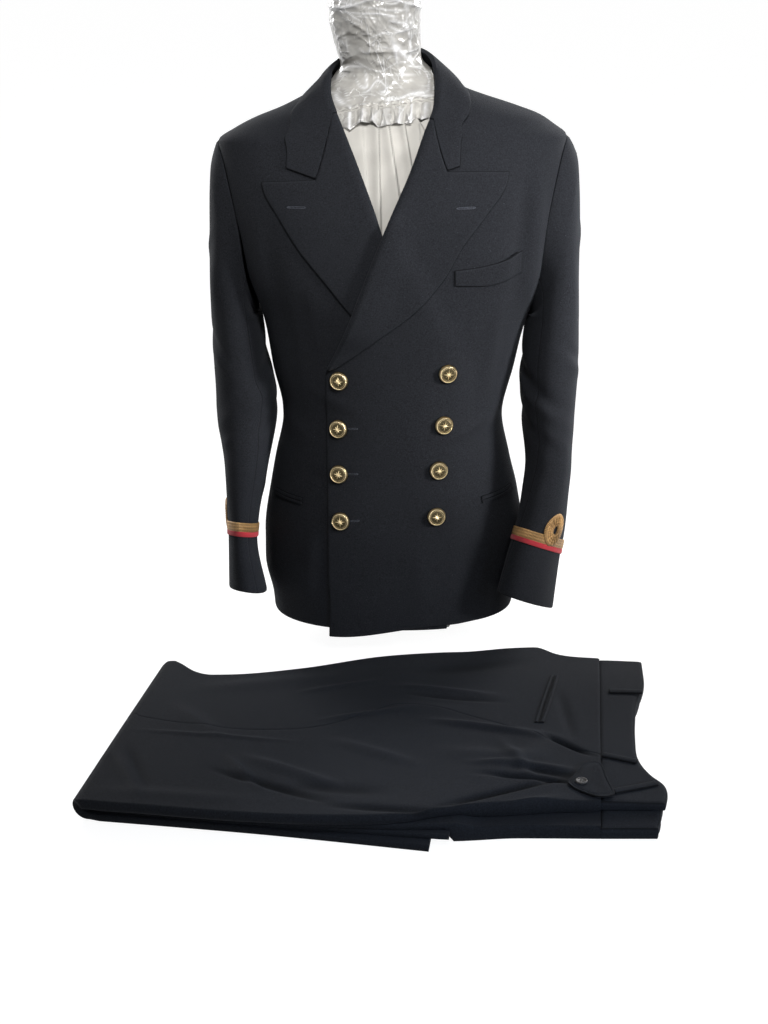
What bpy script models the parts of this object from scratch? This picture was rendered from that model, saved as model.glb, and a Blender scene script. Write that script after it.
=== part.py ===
"""Naval service dress uniform: a double-breasted jacket worn by a limbless dress form, and its folded trousers.

Metres, +Z up, the wearer faces -Y. "Left" and "right" in names are the wearer's, so left is at +X.
The jacket's panels, collar, lapels and sleeves are cloth walls laid on one torso surface; pockets, buttons
and cuff lace are laid on those walls, moved out by the layers beneath them.
"""

import bmesh
import bpy
import numpy as np

# Cloth and clearances
CLOTH = 0.0020
SEAM = 0.0003
LAYER = 0.0004

# Jacket landmarks
HEM = 0.045
BREAK = 0.390
NECK = 0.765
TIP = 0.685
ARMHOLE_LOW = 0.455
ARMHOLE_DEPTH = 0.072
ARMHOLE_SEAT = 0.0008
ARMPIT = 0.1785
ARMHOLE_MIDDLE = (TIP + ARMHOLE_LOW) / 2
ARMHOLE_RADIUS = (TIP - ARMHOLE_LOW) / 2
FRONT_EDGE = -0.0855
UNDER_EDGE = 0.0750
SHOULDER_TILT = 0.0145
LAPPED = CLOTH + 0.0014
ROLL_RADIUS = 0.0043
LAPEL_LIFT = CLOTH + 0.0013
COLLAR_LIFT = LAPEL_LIFT + 0.0014
LAPEL_SPRING = 0.0050

# Buttons, pockets and lace
BUTTON_RADIUS = 0.0125
BUTTON_HEIGHT = 0.0062
JET_WIDTH = 0.0050
JET_CLOTH = 0.0014
LACE_WIDTH = 0.0115
RED_WIDTH = 0.0062
LACE_CLOTH = 0.0012
LACE_LOW = 0.0795
LACE_SEAT = 0.0006
LACE_EDGES = [LACE_LOW + LACE_WIDTH, LACE_LOW, LACE_LOW - LAYER, LACE_LOW - LAYER - RED_WIDTH]
CURL_SEAT = LACE_SEAT + LACE_CLOTH + 0.0007
CURL_OUTER = 0.0205
CURL_INNER = 0.0090
CURL_TURN = {"left": 38.0, "right": -12.0}

# Folded trousers
TROUSER_SHEAR = 0.130
TROUSER_MIDDLE = -0.400
FOLD_END = -0.328
BAND_SEAM = 0.2465
TROUSER_TOP = 0.0340
THIGH_CLOTH = 0.0120
SHIN_CLOTH = 0.0080
INNER_CLOTH = 0.0060
BAND_SPLIT = 0.0168


class Table:
    """Rows of named columns, read smoothly between rows by the value of the first column."""

    def __init__(self, columns, *rows):
        self.columns = columns.split()
        self.rows = np.array(sorted(rows), float)

    def __call__(self, column, at):
        return smooth_read(self.rows[:, 0], self.rows[:, self.columns.index(column)], at)


def smooth_read(known, values, at):
    """Hermite reading of values, with slopes that never overshoot a row."""
    at = np.clip(np.asarray(at, float), known[0], known[-1])
    step = np.diff(known)
    slope = np.diff(values) / step
    tangent = np.concatenate([slope[:1], np.zeros(len(known) - 2), slope[-1:]])
    same_way = slope[:-1] * slope[1:] > 0
    mixed = (slope[:-1] * step[1:] + slope[1:] * step[:-1]) / (step[1:] + step[:-1])
    tangent[1:-1] = np.where(same_way, mixed, 0)
    cell = np.clip(np.searchsorted(known, at) - 1, 0, len(step) - 1)
    part = (at - known[cell]) / step[cell]
    rise = step[cell] * (tangent[cell] * part * (1 - part) ** 2 + tangent[cell + 1] * part ** 2 * (part - 1))
    return values[cell] * (1 + 2 * part) * (1 - part) ** 2 + values[cell + 1] * part ** 2 * (3 - 2 * part) + rise


def ease(value, low, high):
    """Smooth step from 0 at low to 1 at high."""
    part = np.clip((np.asarray(value, float) - low) / (high - low), 0, 1)
    return part * part * (3 - 2 * part)


def unit(vector):
    return vector / np.linalg.norm(vector, axis=-1, keepdims=True)


def along(points, at):
    """Points at fractions of the length of a smooth line through a few points."""
    points = np.array(points, float)
    run = np.concatenate([[0], np.cumsum(np.linalg.norm(np.diff(points, axis=0), axis=1))])
    return np.stack([smooth_read(run / run[-1], points[:, axis], at) for axis in range(points.shape[1])], -1)


# Torso: level rings of the jacket's outer surface, superellipses with their own front and back depth
TORSO = Table("z half centre front back square",
              (0.020, 0.168, 0.0020, 0.1210, 0.1200, 2.4),
              (0.060, 0.171, 0.0020, 0.1210, 0.1185, 2.4),
              (0.110, 0.181, 0.0020, 0.1200, 0.1140, 2.4),
              (0.150, 0.181, 0.0025, 0.1195, 0.1090, 2.4),
              (0.210, 0.173, 0.0025, 0.1180, 0.1010, 2.4),
              (0.260, 0.162, 0.0010, 0.1165, 0.0920, 2.3),
              (0.320, 0.1505, 0.0010, 0.1155, 0.0870, 2.3),
              (0.385, 0.1640, 0.0020, 0.1190, 0.0950, 2.3),
              (0.460, 0.1775, 0.0045, 0.1245, 0.1080, 2.6),
              (0.520, 0.200, 0.0020, 0.1250, 0.1140, 3.0),
              (0.560, 0.210, 0.0010, 0.1235, 0.1150, 3.0),
              (0.600, 0.218, 0.0000, 0.1190, 0.1150, 3.0),
              (0.650, 0.225, 0.0000, 0.1040, 0.1100, 2.9),
              (0.685, 0.227, 0.0000, 0.0870, 0.1010, 2.6),
              (0.700, 0.208, 0.0020, 0.0790, 0.0960, 2.4),
              (0.715, 0.180, 0.0050, 0.0710, 0.0900, 2.2),
              (0.723, 0.158, 0.0050, 0.0665, 0.0865, 2.1),
              (0.7395, 0.115, -0.0016, 0.0570, 0.0785, 2.0),
              (0.746, 0.0997, -0.0040, 0.0530, 0.0755, 2.0),
              (0.754, 0.087, -0.0055, 0.0475, 0.0710, 2.0),
              (0.765, 0.074, -0.0070, 0.0400, 0.0650, 2.0))

# Inner edges of the two fronts: the lapels' roll lines, by height
ROLL = Table("z over under",
             (0.3900, FRONT_EDGE, 0.0700),
             (0.4000, -0.0800, 0.0665),
             (0.4561, -0.0535, 0.0415),
             (0.4996, -0.0375, 0.0185),
             (0.5527, -0.0166, -0.0095),
             (0.6010, 0.0048, -0.0270),
             (0.6472, 0.0260, -0.0447),
             (0.6931, 0.0437, -0.0637),
             (0.7235, 0.0556, -0.0765),
             (0.7380, 0.0585, -0.0815),
             (0.7650, 0.0690, -0.0836))

# Each lapel: its roll line's column and heights, then points in the front's x and z for the outer edge going up,
# the gorge going down and the top edge going out to the peak
LAPELS = {
    "left": dict(
        side=1, roll="over", heights=(0.4000, 0.7080),
        outer=[(-0.0740, 0.4015), (-0.0496, 0.4194), (-0.0207, 0.4409), (0.0259, 0.4751), (0.0646, 0.5177),
               (0.0884, 0.5582), (0.1170, 0.5952), (0.1430, 0.6330), (0.1462, 0.6470)],
        gorge=[(0.0530, 0.6950), (0.0570, 0.6790), (0.0640, 0.6570), (0.0676, 0.6478)],
        top=[(0.0676, 0.6478), (0.1060, 0.6480), (0.1462, 0.6470)]),
    "right": dict(
        side=-1, roll="under", heights=(0.5480, 0.7160),
        outer=[(-0.0400, 0.4590), (-0.0510, 0.4712), (-0.0882, 0.5171), (-0.1163, 0.5523), (-0.1445, 0.5975),
               (-0.1618, 0.6270), (-0.1650, 0.6385)],
        gorge=[(-0.0790, 0.6970), (-0.0840, 0.6770), (-0.0920, 0.6500), (-0.0955, 0.6405)],
        top=[(-0.0955, 0.6405), (-0.1280, 0.6395), (-0.1650, 0.6385)]),
}

# Section of the fold at a roll line, pressed flat and soft
FOLD_COLUMNS = 5
FOLD_PRESSED = Table("column shift lift",
                     (0, -0.0020, -0.0020), (1, -0.0034, -0.0013), (2, -0.0041, 0.0004),
                     (3, -0.0034, 0.0022), (4, -0.0018, 0.0033))
FOLD_SOFT = Table("column shift lift",
                  (0, -0.0012, -0.0021), (1, -0.0034, -0.0012), (2, -0.0047, 0.0020),
                  (3, -0.0034, 0.0054), (4, 0.0006, 0.0074))
LAPEL_START = 0.07
COLLAR_GAP = (0.0014, 0.0019)

# Collar stations, from the left gorge round the back of the neck to the right gorge. The roll is where the fold
# leaves the front, the crest is the top of the fold, and the base and the outer edge are on the torso's rings.
COLLAR = Table("station roll_z crest_x crest_y crest_z base_angle edge_angle edge_z",
               (0, 0.7080, 0.0510, -0.0680, 0.7270, 60, 13.7, 0.6520),
               (1, 0.7200, 0.0525, -0.0590, 0.7390, 66, 14.7, 0.6680),
               (2, 0.7320, 0.0540, -0.0480, 0.7510, 72, 16.9, 0.6870),
               (3, 0.7440, 0.0555, -0.0340, 0.7630, 78, 23.5, 0.7080),
               (4, 0.7560, 0.0550, -0.0180, 0.7740, 84, 46.0, 0.7325),
               (5, 0.7650, 0.0530, -0.0020, 0.7830, 90, 90.0, 0.7530),
               (6, 0.7650, 0.0470, 0.0200, 0.7900, 107, 112.0, 0.7530),
               (7, 0.7650, 0.0335, 0.0445, 0.7960, 130, 135.0, 0.7520),
               (8, 0.7650, 0.0130, 0.0610, 0.8000, 155, 157.0, 0.7505),
               (9, 0.7650, -0.0115, 0.0668, 0.8010, 180, 180.0, 0.7500),
               (10, 0.7650, -0.0365, 0.0610, 0.7975, 205, 203.0, 0.7505),
               (11, 0.7650, -0.0590, 0.0450, 0.7900, 230, 225.0, 0.7520),
               (12, 0.7650, -0.0740, 0.0230, 0.7805, 253, 248.0, 0.7535),
               (13, 0.7650, -0.0805, -0.0010, 0.7740, 270, 270.0, 0.7535),
               (14, 0.7600, -0.0815, -0.0150, 0.7690, 276, 286.0, 0.7420),
               (15, 0.7520, -0.0825, -0.0270, 0.7625, 282, 305.0, 0.7250),
               (16, 0.7420, -0.0828, -0.0370, 0.7555, 288, 324.0, 0.7020),
               (17, 0.7300, -0.0828, -0.0450, 0.7490, 294, 331.0, 0.6770),
               (18, 0.7160, -0.0825, -0.0510, 0.7430, 300, 332.4, 0.6525))
COLLAR_NOTCH = {"left": [(0.0676, 0.6478), (0.0830, 0.6520)], "right": [(-0.0955, 0.6405), (-0.1320, 0.6525)]}

# Sleeves below the armpit: centre, half thickness across, half width front to back, twist, slope of the section
SLEEVES = {
    "left": dict(side=1, table=Table(
        "z x y thin wide twist slope_x slope_y",
        (0.455, 0.2165, -0.004, 0.0345, 0.0760, 0, 0.00, 0.00),
        (0.385, 0.2135, -0.013, 0.0385, 0.0730, 0, 0.00, -0.10),
        (0.318, 0.2120, -0.030, 0.0355, 0.0670, 0, -0.02, -0.18),
        (0.260, 0.2130, -0.050, 0.0312, 0.0635, -3, -0.08, -0.26),
        (0.220, 0.2092, -0.062, 0.0315, 0.0620, -8, -0.18, -0.29),
        (0.170, 0.2026, -0.074, 0.0310, 0.0620, -16, -0.30, -0.30),
        (0.140, 0.1960, -0.080, 0.0300, 0.0620, -21, -0.34, -0.30),
        (0.073, 0.1832, -0.092, 0.0308, 0.0620, -29, -0.36, -0.28))),
    "right": dict(side=-1, table=Table(
        "z x y thin wide twist slope_x slope_y",
        (0.455, 0.2095, -0.004, 0.0335, 0.0760, 0, 0.00, 0.00),
        (0.400, 0.2050, -0.011, 0.0365, 0.0740, 0, 0.00, -0.08),
        (0.339, 0.1970, -0.028, 0.0415, 0.0670, 0, 0.02, -0.16),
        (0.253, 0.1986, -0.052, 0.0290, 0.0650, -2, 0.05, -0.26),
        (0.188, 0.2031, -0.068, 0.0208, 0.0660, -2, 0.10, -0.30),
        (0.158, 0.2040, -0.074, 0.0190, 0.0660, -2, 0.12, -0.30),
        (0.088, 0.1978, -0.086, 0.0258, 0.0640, -3, 0.14, -0.28))),
}
SLEEVE_HEAD = Table("z left right",
                    (0.455, 0.2510, 0.2430),
                    (0.505, 0.2490, 0.2430),
                    (0.580, 0.2478, 0.2415),
                    (0.625, 0.2455, 0.2400),
                    (0.652, 0.2430, 0.2380),
                    (0.668, 0.2405, 0.2360),
                    (0.680, 0.2378, 0.2358),
                    (0.685, 0.2315, 0.2305))
FRONT_SLEEVE_SEAM = 122.0
HIND_SLEEVE_SEAM = 248.0
SLEEVE_GAP = 0.16

# Soft folds of the worn cloth: a line in x and z on the front or back, its width and its height out of the cloth
TORSO_FOLDS = [
    dict(face=-1, start=(0.186, 0.655), end=(0.176, 0.440), width=0.011, height=0.0050),
    dict(face=-1, start=(0.168, 0.650), end=(0.157, 0.470), width=0.012, height=-0.0040),
    dict(face=-1, start=(-0.178, 0.610), end=(-0.152, 0.385), width=0.012, height=0.0042),
    dict(face=-1, start=(-0.160, 0.560), end=(-0.135, 0.400), width=0.012, height=-0.0034),
    dict(face=-1, start=(0.150, 0.360), end=(0.085, 0.300), width=0.012, height=0.0026),
    dict(face=-1, start=(-0.150, 0.330), end=(-0.095, 0.290), width=0.012, height=0.0026),
    dict(face=-1, start=(0.115, 0.190), end=(0.128, 0.050), width=0.016, height=0.0032),
    dict(face=-1, start=(-0.105, 0.180), end=(-0.122, 0.060), width=0.016, height=0.0030),
    dict(face=1, start=(0.165, 0.640), end=(0.150, 0.420), width=0.014, height=0.0056),
    dict(face=1, start=(-0.167, 0.630), end=(-0.146, 0.400), width=0.014, height=0.0050),
    dict(face=1, start=(0.120, 0.600), end=(0.105, 0.430), width=0.016, height=-0.0038),
    dict(face=1, start=(-0.115, 0.590), end=(-0.100, 0.450), width=0.016, height=-0.0034),
    dict(face=1, start=(0.130, 0.325), end=(0.060, 0.290), width=0.013, height=0.0034),
    dict(face=1, start=(-0.125, 0.335), end=(-0.050, 0.305), width=0.013, height=0.0030),
    dict(face=1, start=(0.075, 0.200), end=(0.085, 0.055), width=0.018, height=0.0036),
    dict(face=1, start=(-0.080, 0.210), end=(-0.095, 0.050), width=0.018, height=0.0034)]

# Sleeve creases: height of the middle, angle round the sleeve, half extents and slant, and depth
SLEEVE_FOLDS = {
    "left": [dict(z=0.375, angle=150, tall=0.012, round=70, slant=0.030, height=-0.0044),
             dict(z=0.345, angle=120, tall=0.011, round=60, slant=0.024, height=0.0036),
             dict(z=0.315, angle=160, tall=0.012, round=62, slant=0.020, height=-0.0036),
             dict(z=0.500, angle=60, tall=0.040, round=24, slant=0.010, height=0.0040),
             dict(z=0.505, angle=300, tall=0.045, round=26, slant=-0.012, height=0.0042),
             dict(z=0.260, angle=60, tall=0.050, round=22, slant=0.012, height=0.0024)],
    "right": [dict(z=0.385, angle=140, tall=0.013, round=66, slant=0.026, height=-0.0040),
              dict(z=0.350, angle=110, tall=0.012, round=70, slant=0.030, height=0.0036),
              dict(z=0.322, angle=150, tall=0.011, round=58, slant=0.022, height=-0.0038),
              dict(z=0.510, angle=56, tall=0.042, round=26, slant=0.012, height=0.0042),
              dict(z=0.490, angle=302, tall=0.045, round=24, slant=-0.010, height=0.0038),
              dict(z=0.250, angle=50, tall=0.045, round=24, slant=0.010, height=0.0026)],
}

BUTTONS = [(-0.0682, 0.3859), (-0.0695, 0.3198), (-0.0695, 0.2584), (-0.0680, 0.1942),
           (0.0706, 0.3959), (0.0664, 0.3254), (0.0605, 0.2643), (0.0584, 0.2015)]

# The dress form: how far it lies inside the jacket's outer surface, and its neck above the jacket
FORM_INSET = Table("z side front",
                   (0.000, 0.072, 0.086),
                   (0.030, 0.054, 0.050),
                   (0.060, 0.040, 0.032),
                   (0.120, 0.030, 0.021),
                   (0.300, 0.024, 0.018),
                   (0.455, 0.026, 0.014),
                   (0.600, 0.034, 0.010),
                   (0.660, 0.030, 0.008),
                   (0.680, 0.016, 0.005),
                   (0.690, 0.010, 0.0050),
                   (0.700, 0.0060, 0.0050),
                   (0.765, 0.0050, 0.0045))
FORM_NECK = Table("z half centre middle deep",
                  (0.765, 0.0690, -0.0070, 0.0125, 0.0475),
                  (0.775, 0.0565, -0.0115, 0.0105, 0.0455),
                  (0.785, 0.0530, -0.0160, 0.0090, 0.0455),
                  (0.800, 0.0545, -0.0190, 0.0080, 0.0490),
                  (0.830, 0.0580, -0.0226, 0.0060, 0.0530),
                  (0.866, 0.0585, -0.0226, 0.0060, 0.0535),
                  (0.874, 0.0565, -0.0226, 0.0060, 0.0515),
                  (0.878, 0.0510, -0.0226, 0.0060, 0.0460))
FORM_LEVELS = [0.0, 0.03, 0.06, 0.13, 0.20, 0.27, 0.32, 0.38, 0.46, 0.54, 0.61, 0.655, 0.675, 0.687]
FORM_UPRIGHT = 0.66
FORM_TOP_LEVELS = [0.775, 0.785, 0.800, 0.830, 0.866, 0.874, 0.878]
SHOULDER_LEVELS = [0.697, 0.708, 0.719, 0.730, 0.742, 0.753, NECK]

# The folded trousers, seen from above: near and far edges of each layer by distance along the leg
TOP_LEG = Table("along near far",
                (-0.328, -0.5720, -0.2050),
                (-0.317, -0.5790, -0.2070),
                (-0.300, -0.5830, -0.2200),
                (-0.275, -0.5870, -0.2460),
                (-0.250, -0.5900, -0.2570),
                (-0.220, -0.5950, -0.2560),
                (-0.138, -0.6070, -0.2370),
                (-0.040, -0.6135, -0.1990),
                (0.035, -0.6090, -0.1860),
                (0.076, -0.5960, -0.1830),
                (0.118, -0.5880, -0.1770),
                (0.160, -0.5840, -0.1760),
                (0.190, -0.5800, -0.1990),
                (0.250, -0.5760, -0.2140))
UNDER_LEG = Table("along near far",
                  (-0.328, -0.5640, -0.2250),
                  (-0.200, -0.5830, -0.2550),
                  (-0.100, -0.5990, -0.2450),
                  (0.000, -0.6100, -0.2100),
                  (0.086, -0.6110, -0.1950),
                  (0.160, -0.6050, -0.1900),
                  (0.250, -0.6060, -0.2240))
SHINS = {"right": dict(hem=0.066, near=[(-0.328, -0.564), (-0.1, -0.600), (0.066, -0.632)],
                       far=[(-0.328, -0.215), (-0.1, -0.330), (0.066, -0.396)]),
         "left": dict(hem=0.082, near=[(-0.328, -0.558), (-0.1, -0.596), (0.082, -0.622)],
                      far=[(-0.328, -0.235), (-0.1, -0.345), (0.082, -0.390)])}
SIDE_SEAM = Table("along y",
                  (-0.328, -0.374),
                  (-0.254, -0.399),
                  (-0.155, -0.418),
                  (-0.082, -0.407),
                  (-0.044, -0.383),
                  (0.002, -0.350),
                  (0.052, -0.361),
                  (0.084, -0.378),
                  (0.131, -0.405),
                  (0.165, -0.426),
                  (0.190, -0.444),
                  (0.2465, -0.472))
WAIST_EDGE = Table("y along",
                   (-0.606, 0.3080),
                   (-0.590, 0.3135),
                   (-0.530, 0.3130),
                   (-0.515, 0.3030),
                   (-0.490, 0.2920),
                   (-0.446, 0.2860),
                   (-0.380, 0.2870),
                   (-0.330, 0.2910),
                   (-0.300, 0.2980),
                   (-0.270, 0.3015),
                   (-0.214, 0.3005))
TROUSER_FOLDS = [
    dict(start=(0.225, -0.530), end=(0.130, -0.500), width=0.008, height=-0.0040),
    dict(start=(0.180, -0.490), end=(0.060, -0.470), width=0.014, height=0.0030),
    dict(start=(-0.090, -0.552), end=(0.015, -0.569), width=0.010, height=-0.0030),
    dict(start=(-0.300, -0.560), end=(-0.120, -0.585), width=0.011, height=0.0020),
    dict(start=(0.190, -0.450), end=(0.110, -0.530), width=0.016, height=0.0028),
    dict(start=(-0.020, -0.350), end=(0.090, -0.370), width=0.014, height=0.0022),
    dict(start=(-0.260, -0.300), end=(-0.060, -0.260), width=0.018, height=0.0026),
    dict(start=(0.020, -0.250), end=(0.150, -0.225), width=0.016, height=-0.0026)]
TAB_OUTLINE = [(0.2460, -0.4900), (0.2265, -0.4960), (0.2170, -0.5250), (0.2120, -0.5330), (0.2090, -0.5440),
               (0.2165, -0.5560), (0.2400, -0.5740), (0.2520, -0.5750), (0.2620, -0.5690), (0.2530, -0.5360)]
TAB_BUTTON = (0.2245, -0.5430)
TAB_BUTTON_RADIUS = 0.0068
BELT_LOOPS = [((0.2582, -0.3142), (0.2983, -0.3124)), ((0.2490, -0.4745), (0.2870, -0.4885)),
              ((0.2600, -0.5580), (0.3070, -0.5370))]
POCKET_SLIT = [(0.1890, -0.2720), (0.1800, -0.3500), (0.1735, -0.4010)]

MATERIALS = {
    "navy_cloth": dict(color=(0.011, 0.012, 0.019), roughness=0.85, metallic=0.0),
    "gilt_brass": dict(color=(0.62, 0.44, 0.16), roughness=0.34, metallic=1.0),
    "gold_lace": dict(color=(0.46, 0.27, 0.09), roughness=0.50, metallic=0.65),
    "red_cloth": dict(color=(0.60, 0.020, 0.028), roughness=0.90, metallic=0.0),
    "form_cover": dict(color=(0.78, 0.76, 0.74), roughness=0.55, metallic=0.0),
    "dark_horn": dict(color=(0.018, 0.017, 0.018), roughness=0.35, metallic=0.0),
}


def material(name):
    """One Principled material for each named finish."""
    found = bpy.data.materials.get(name)
    if found:
        return found
    found = bpy.data.materials.new(name)
    found.use_nodes = True
    shader = found.node_tree.nodes["Principled BSDF"]
    look = MATERIALS[name]
    shader.inputs["Base Color"].default_value = (*look["color"], 1.0)
    shader.inputs["Roughness"].default_value = look["roughness"]
    shader.inputs["Metallic"].default_value = look["metallic"]
    return found


def torso_point(z, angle):
    """Point of the torso's outer surface at a height and an angle, in degrees from the front toward +X."""
    turn = np.radians(angle)
    power = 2 / TORSO("square", z)
    across, ahead = np.sin(turn), np.cos(turn)
    depth = np.where(ahead > 0, TORSO("front", z), TORSO("back", z))
    x = TORSO("centre", z) + TORSO("half", z) * np.sign(across) * np.abs(across) ** power
    return np.stack([x, -depth * np.sign(ahead) * np.abs(ahead) ** power, np.broadcast_to(z, x.shape)], -1)


def torso_level(x, y, z):
    """Level function of the torso: 1 on its surface, less inside."""
    power = TORSO("square", z)
    depth = np.where(y < 0, TORSO("front", z), TORSO("back", z))
    return (np.abs((x - TORSO("centre", z)) / TORSO("half", z)) ** power + np.abs(y / depth) ** power) ** (1 / power)


def torso_normal(points):
    """Outward normal of the torso's surface, from the slope of its level function."""
    x, y, z = np.moveaxis(np.asarray(points, float), -1, 0)
    step = 2e-4
    slopes = [torso_level(x + step, y, z) - torso_level(x - step, y, z),
              torso_level(x, y + step, z) - torso_level(x, y - step, z),
              torso_level(x, y, np.minimum(z + step, NECK)) - torso_level(x, y, z - step)]
    return unit(np.stack(slopes, -1))


def front_angle(x, z):
    """Angle of the front point that has this x."""
    share = np.clip((x - TORSO("centre", z)) / TORSO("half", z), -1, 1)
    return np.degrees(np.arcsin(np.sign(share) * np.abs(share) ** (TORSO("square", z) / 2)))


def side_angle(y, z):
    """Angle between 0 and 180 of the point that has this y."""
    share = np.clip(-y / np.where(y < 0, TORSO("front", z), TORSO("back", z)), -1, 1)
    return np.degrees(np.arccos(np.sign(share) * np.abs(share) ** (TORSO("square", z) / 2)))


def fold_lift(first, second, folds):
    """Sum of soft ridges and troughs along short lines, at points of a flat map."""
    total = np.zeros(np.broadcast(first, second).shape)
    for fold in folds:
        start, end = np.array(fold["start"]), np.array(fold["end"])
        line = end - start
        length = np.linalg.norm(line)
        share = ((first - start[0]) * line[0] + (second - start[1]) * line[1]) / length ** 2
        aside = np.abs((first - start[0]) * line[1] - (second - start[1]) * line[0]) / length
        taper = ease(share, -0.15, 0.35) * (1 - ease(share, 0.55, 1.15))
        total = total + fold["height"] * taper * np.exp(-(aside / fold["width"]) ** 2)
    return total


def torso_drape(points):
    """How far the worn cloth stands out of the plain torso surface."""
    x, y, z = np.moveaxis(np.asarray(points, float), -1, 0)
    front = fold_lift(x, z, [fold for fold in TORSO_FOLDS if fold["face"] < 0])
    back = fold_lift(x, z, [fold for fold in TORSO_FOLDS if fold["face"] > 0])
    return np.where(y < 0, front * ease(-y, 0.0, 0.03), back * ease(y, 0.0, 0.03))


def fronts_lap(x, z):
    """How far the over front is raised by the under front and its lapel."""
    beyond = x - ROLL("under", z)
    lapped = LAPPED * (1 - ease(beyond, 0.010, 0.045))
    tucked = LAPPED * ease(z, 0.425, 0.450) * (1 - ease(z, 0.575, 0.610))
    beside = 1 - ease(x - ROLL("over", z), 0.014, 0.050)
    return lapped + tucked * beside


def on_front(x, z, lift, over=False):
    """Point of the front at x and z, lifted out of the cloth beneath."""
    x, z, lift = np.broadcast_arrays(np.asarray(x, float), np.asarray(z, float), np.asarray(lift, float))
    base = torso_point(z, front_angle(x, z))
    total = lift + torso_drape(base)
    if over:
        total = total + fronts_lap(x, z)
    return base + torso_normal(base) * total[..., None]


def hung(points):
    """The jacket hangs a little higher on its left shoulder."""
    points = np.array(points, float)
    points[..., 2] += SHOULDER_TILT * points[..., 0] * ease(points[..., 2], 0.45, 0.65)
    return points


def add_object(name, verts, faces, finish, smooth_angle=50.0):
    mesh = bpy.data.meshes.new(name)
    mesh.from_pydata([tuple(vert) for vert in verts], [], faces)
    mesh.materials.append(material(finish))
    shape = bmesh.new()
    shape.from_mesh(mesh)
    bmesh.ops.triangulate(shape, faces=shape.faces[:])
    bmesh.ops.recalc_face_normals(shape, faces=shape.faces[:])
    if shape.calc_volume(signed=True) < 0:
        bmesh.ops.reverse_faces(shape, faces=shape.faces[:])
    shape.to_mesh(mesh)
    shape.free()
    mesh.shade_smooth()
    mesh.set_sharp_from_angle(angle=np.radians(smooth_angle))
    mesh.update()
    item = bpy.data.objects.new(name, mesh)
    bpy.context.scene.collection.objects.link(item)
    return item


def grid_normals(points):
    """Normals of a grid of points, rows by columns, from its own slopes."""
    return unit(np.cross(np.gradient(points, axis=0), np.gradient(points, axis=1)))


def add_wall(name, outer, inner, finish, wrap=False):
    """Closed wall between an outer and an inner grid; wrap joins the last column to the first."""
    rows, columns = outer.shape[:2]
    count = rows * columns
    spans = columns if wrap else columns - 1

    def at(row, column, layer):
        return layer * count + row * columns + column % columns

    faces = []
    for row in range(rows - 1):
        for column in range(spans):
            corners = [(row, column), (row, column + 1), (row + 1, column + 1), (row + 1, column)]
            faces.append([at(*corner, 0) for corner in corners])
            faces.append([at(*corner, 1) for corner in reversed(corners)])
    for row in (0, rows - 1):
        for column in range(spans):
            faces.append([at(row, column, 0), at(row, column + 1, 0), at(row, column + 1, 1), at(row, column, 1)])
    if not wrap:
        for column in (0, columns - 1):
            for row in range(rows - 1):
                faces.append([at(row, column, 0), at(row + 1, column, 0), at(row + 1, column, 1), at(row, column, 1)])
    verts = np.concatenate([outer.reshape(-1, 3), inner.reshape(-1, 3)])
    return add_object(name, verts, faces, finish)


def add_skin(name, grid, thickness, finish):
    """Wall that hangs inward from a folded grid; its last column shows which way is outward."""
    normals = grid_normals(grid)
    if np.sum(normals[:, -1] * torso_normal(grid[:, -1])) < 0:
        normals = -normals
    return add_wall(name, grid, grid - normals * thickness, finish)


def add_rings(name, rings, finish):
    """Closed solid through rings of points, capped flat at both ends."""
    rings = np.array(rings)
    count, around = rings.shape[:2]
    faces = []
    for row in range(count - 1):
        for column in range(around):
            after = (column + 1) % around
            faces.append([row * around + column, row * around + after,
                          (row + 1) * around + after, (row + 1) * around + column])
    faces.append(list(range(around)))
    faces.append([(count - 1) * around + column for column in range(around)])
    return add_object(name, rings.reshape(-1, 3), faces, finish)


def spaced_angles(z, start, end, columns):
    """Angles between two edges that cut the ring at z into equal lengths."""
    dense = np.linspace(start, end, 241)
    points = torso_point(np.full(dense.shape, z), dense)
    run = np.concatenate([[0], np.cumsum(np.linalg.norm(np.diff(points, axis=0), axis=1))])
    return np.interp(np.linspace(0, run[-1], columns), run, dense)


def armhole_edge(z):
    """Distance of the armhole's edge from the shoulder line, by height."""
    share = np.clip((z - ARMHOLE_MIDDLE) / ARMHOLE_RADIUS, -1, 1)
    return ARMHOLE_DEPTH * np.sqrt(1 - share ** 2)


def panel_levels():
    """Row heights: even below the armpit, then by the armhole's curve, then up the shoulder."""
    lower = np.linspace(HEM, ARMHOLE_LOW, 12)[:-1]
    arm = ARMHOLE_MIDDLE + ARMHOLE_RADIUS * np.cos(np.radians(np.linspace(180, 0, 11)))
    return np.concatenate([lower, arm, SHOULDER_LEVELS])


def hem_drop(x, over):
    """How far the fronts hang below the back: the over front's corner is the lowest."""
    if over:
        return -0.0185 * (1 - ease(x, -0.09, 0.07))
    return np.full(x.shape, -0.0065)


def add_panel(name, start, end, columns, lap=False, front=None):
    """One body panel between two edges, given as angles by height."""
    outer = []
    for z in panel_levels():
        angles = spaced_angles(z, start(z), end(z), columns)
        flat = torso_point(np.full(columns, z), angles)
        drop = hem_drop(flat[:, 0], front == "over") * (1 - ease(z, HEM, 0.20)) if front else np.zeros(columns)
        base = torso_point(z + drop, angles)
        lift = torso_drape(base)
        if lap:
            lift = lift + fronts_lap(base[:, 0], base[:, 2])
        outer.append(base + torso_normal(base) * lift[:, None])
    outer = np.array(outer)
    return add_wall(name, hung(outer), hung(outer - torso_normal(outer) * CLOTH), "navy_cloth")


def arm_edge_angle(z, face):
    """Angle of a panel's edge at the side seam, the armhole or the shoulder seam; face -1 is the front."""
    away = armhole_edge(z) if ARMHOLE_LOW < z < TIP else 0.0
    return side_angle(face * (away + SEAM / 2), np.float64(z))


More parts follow.
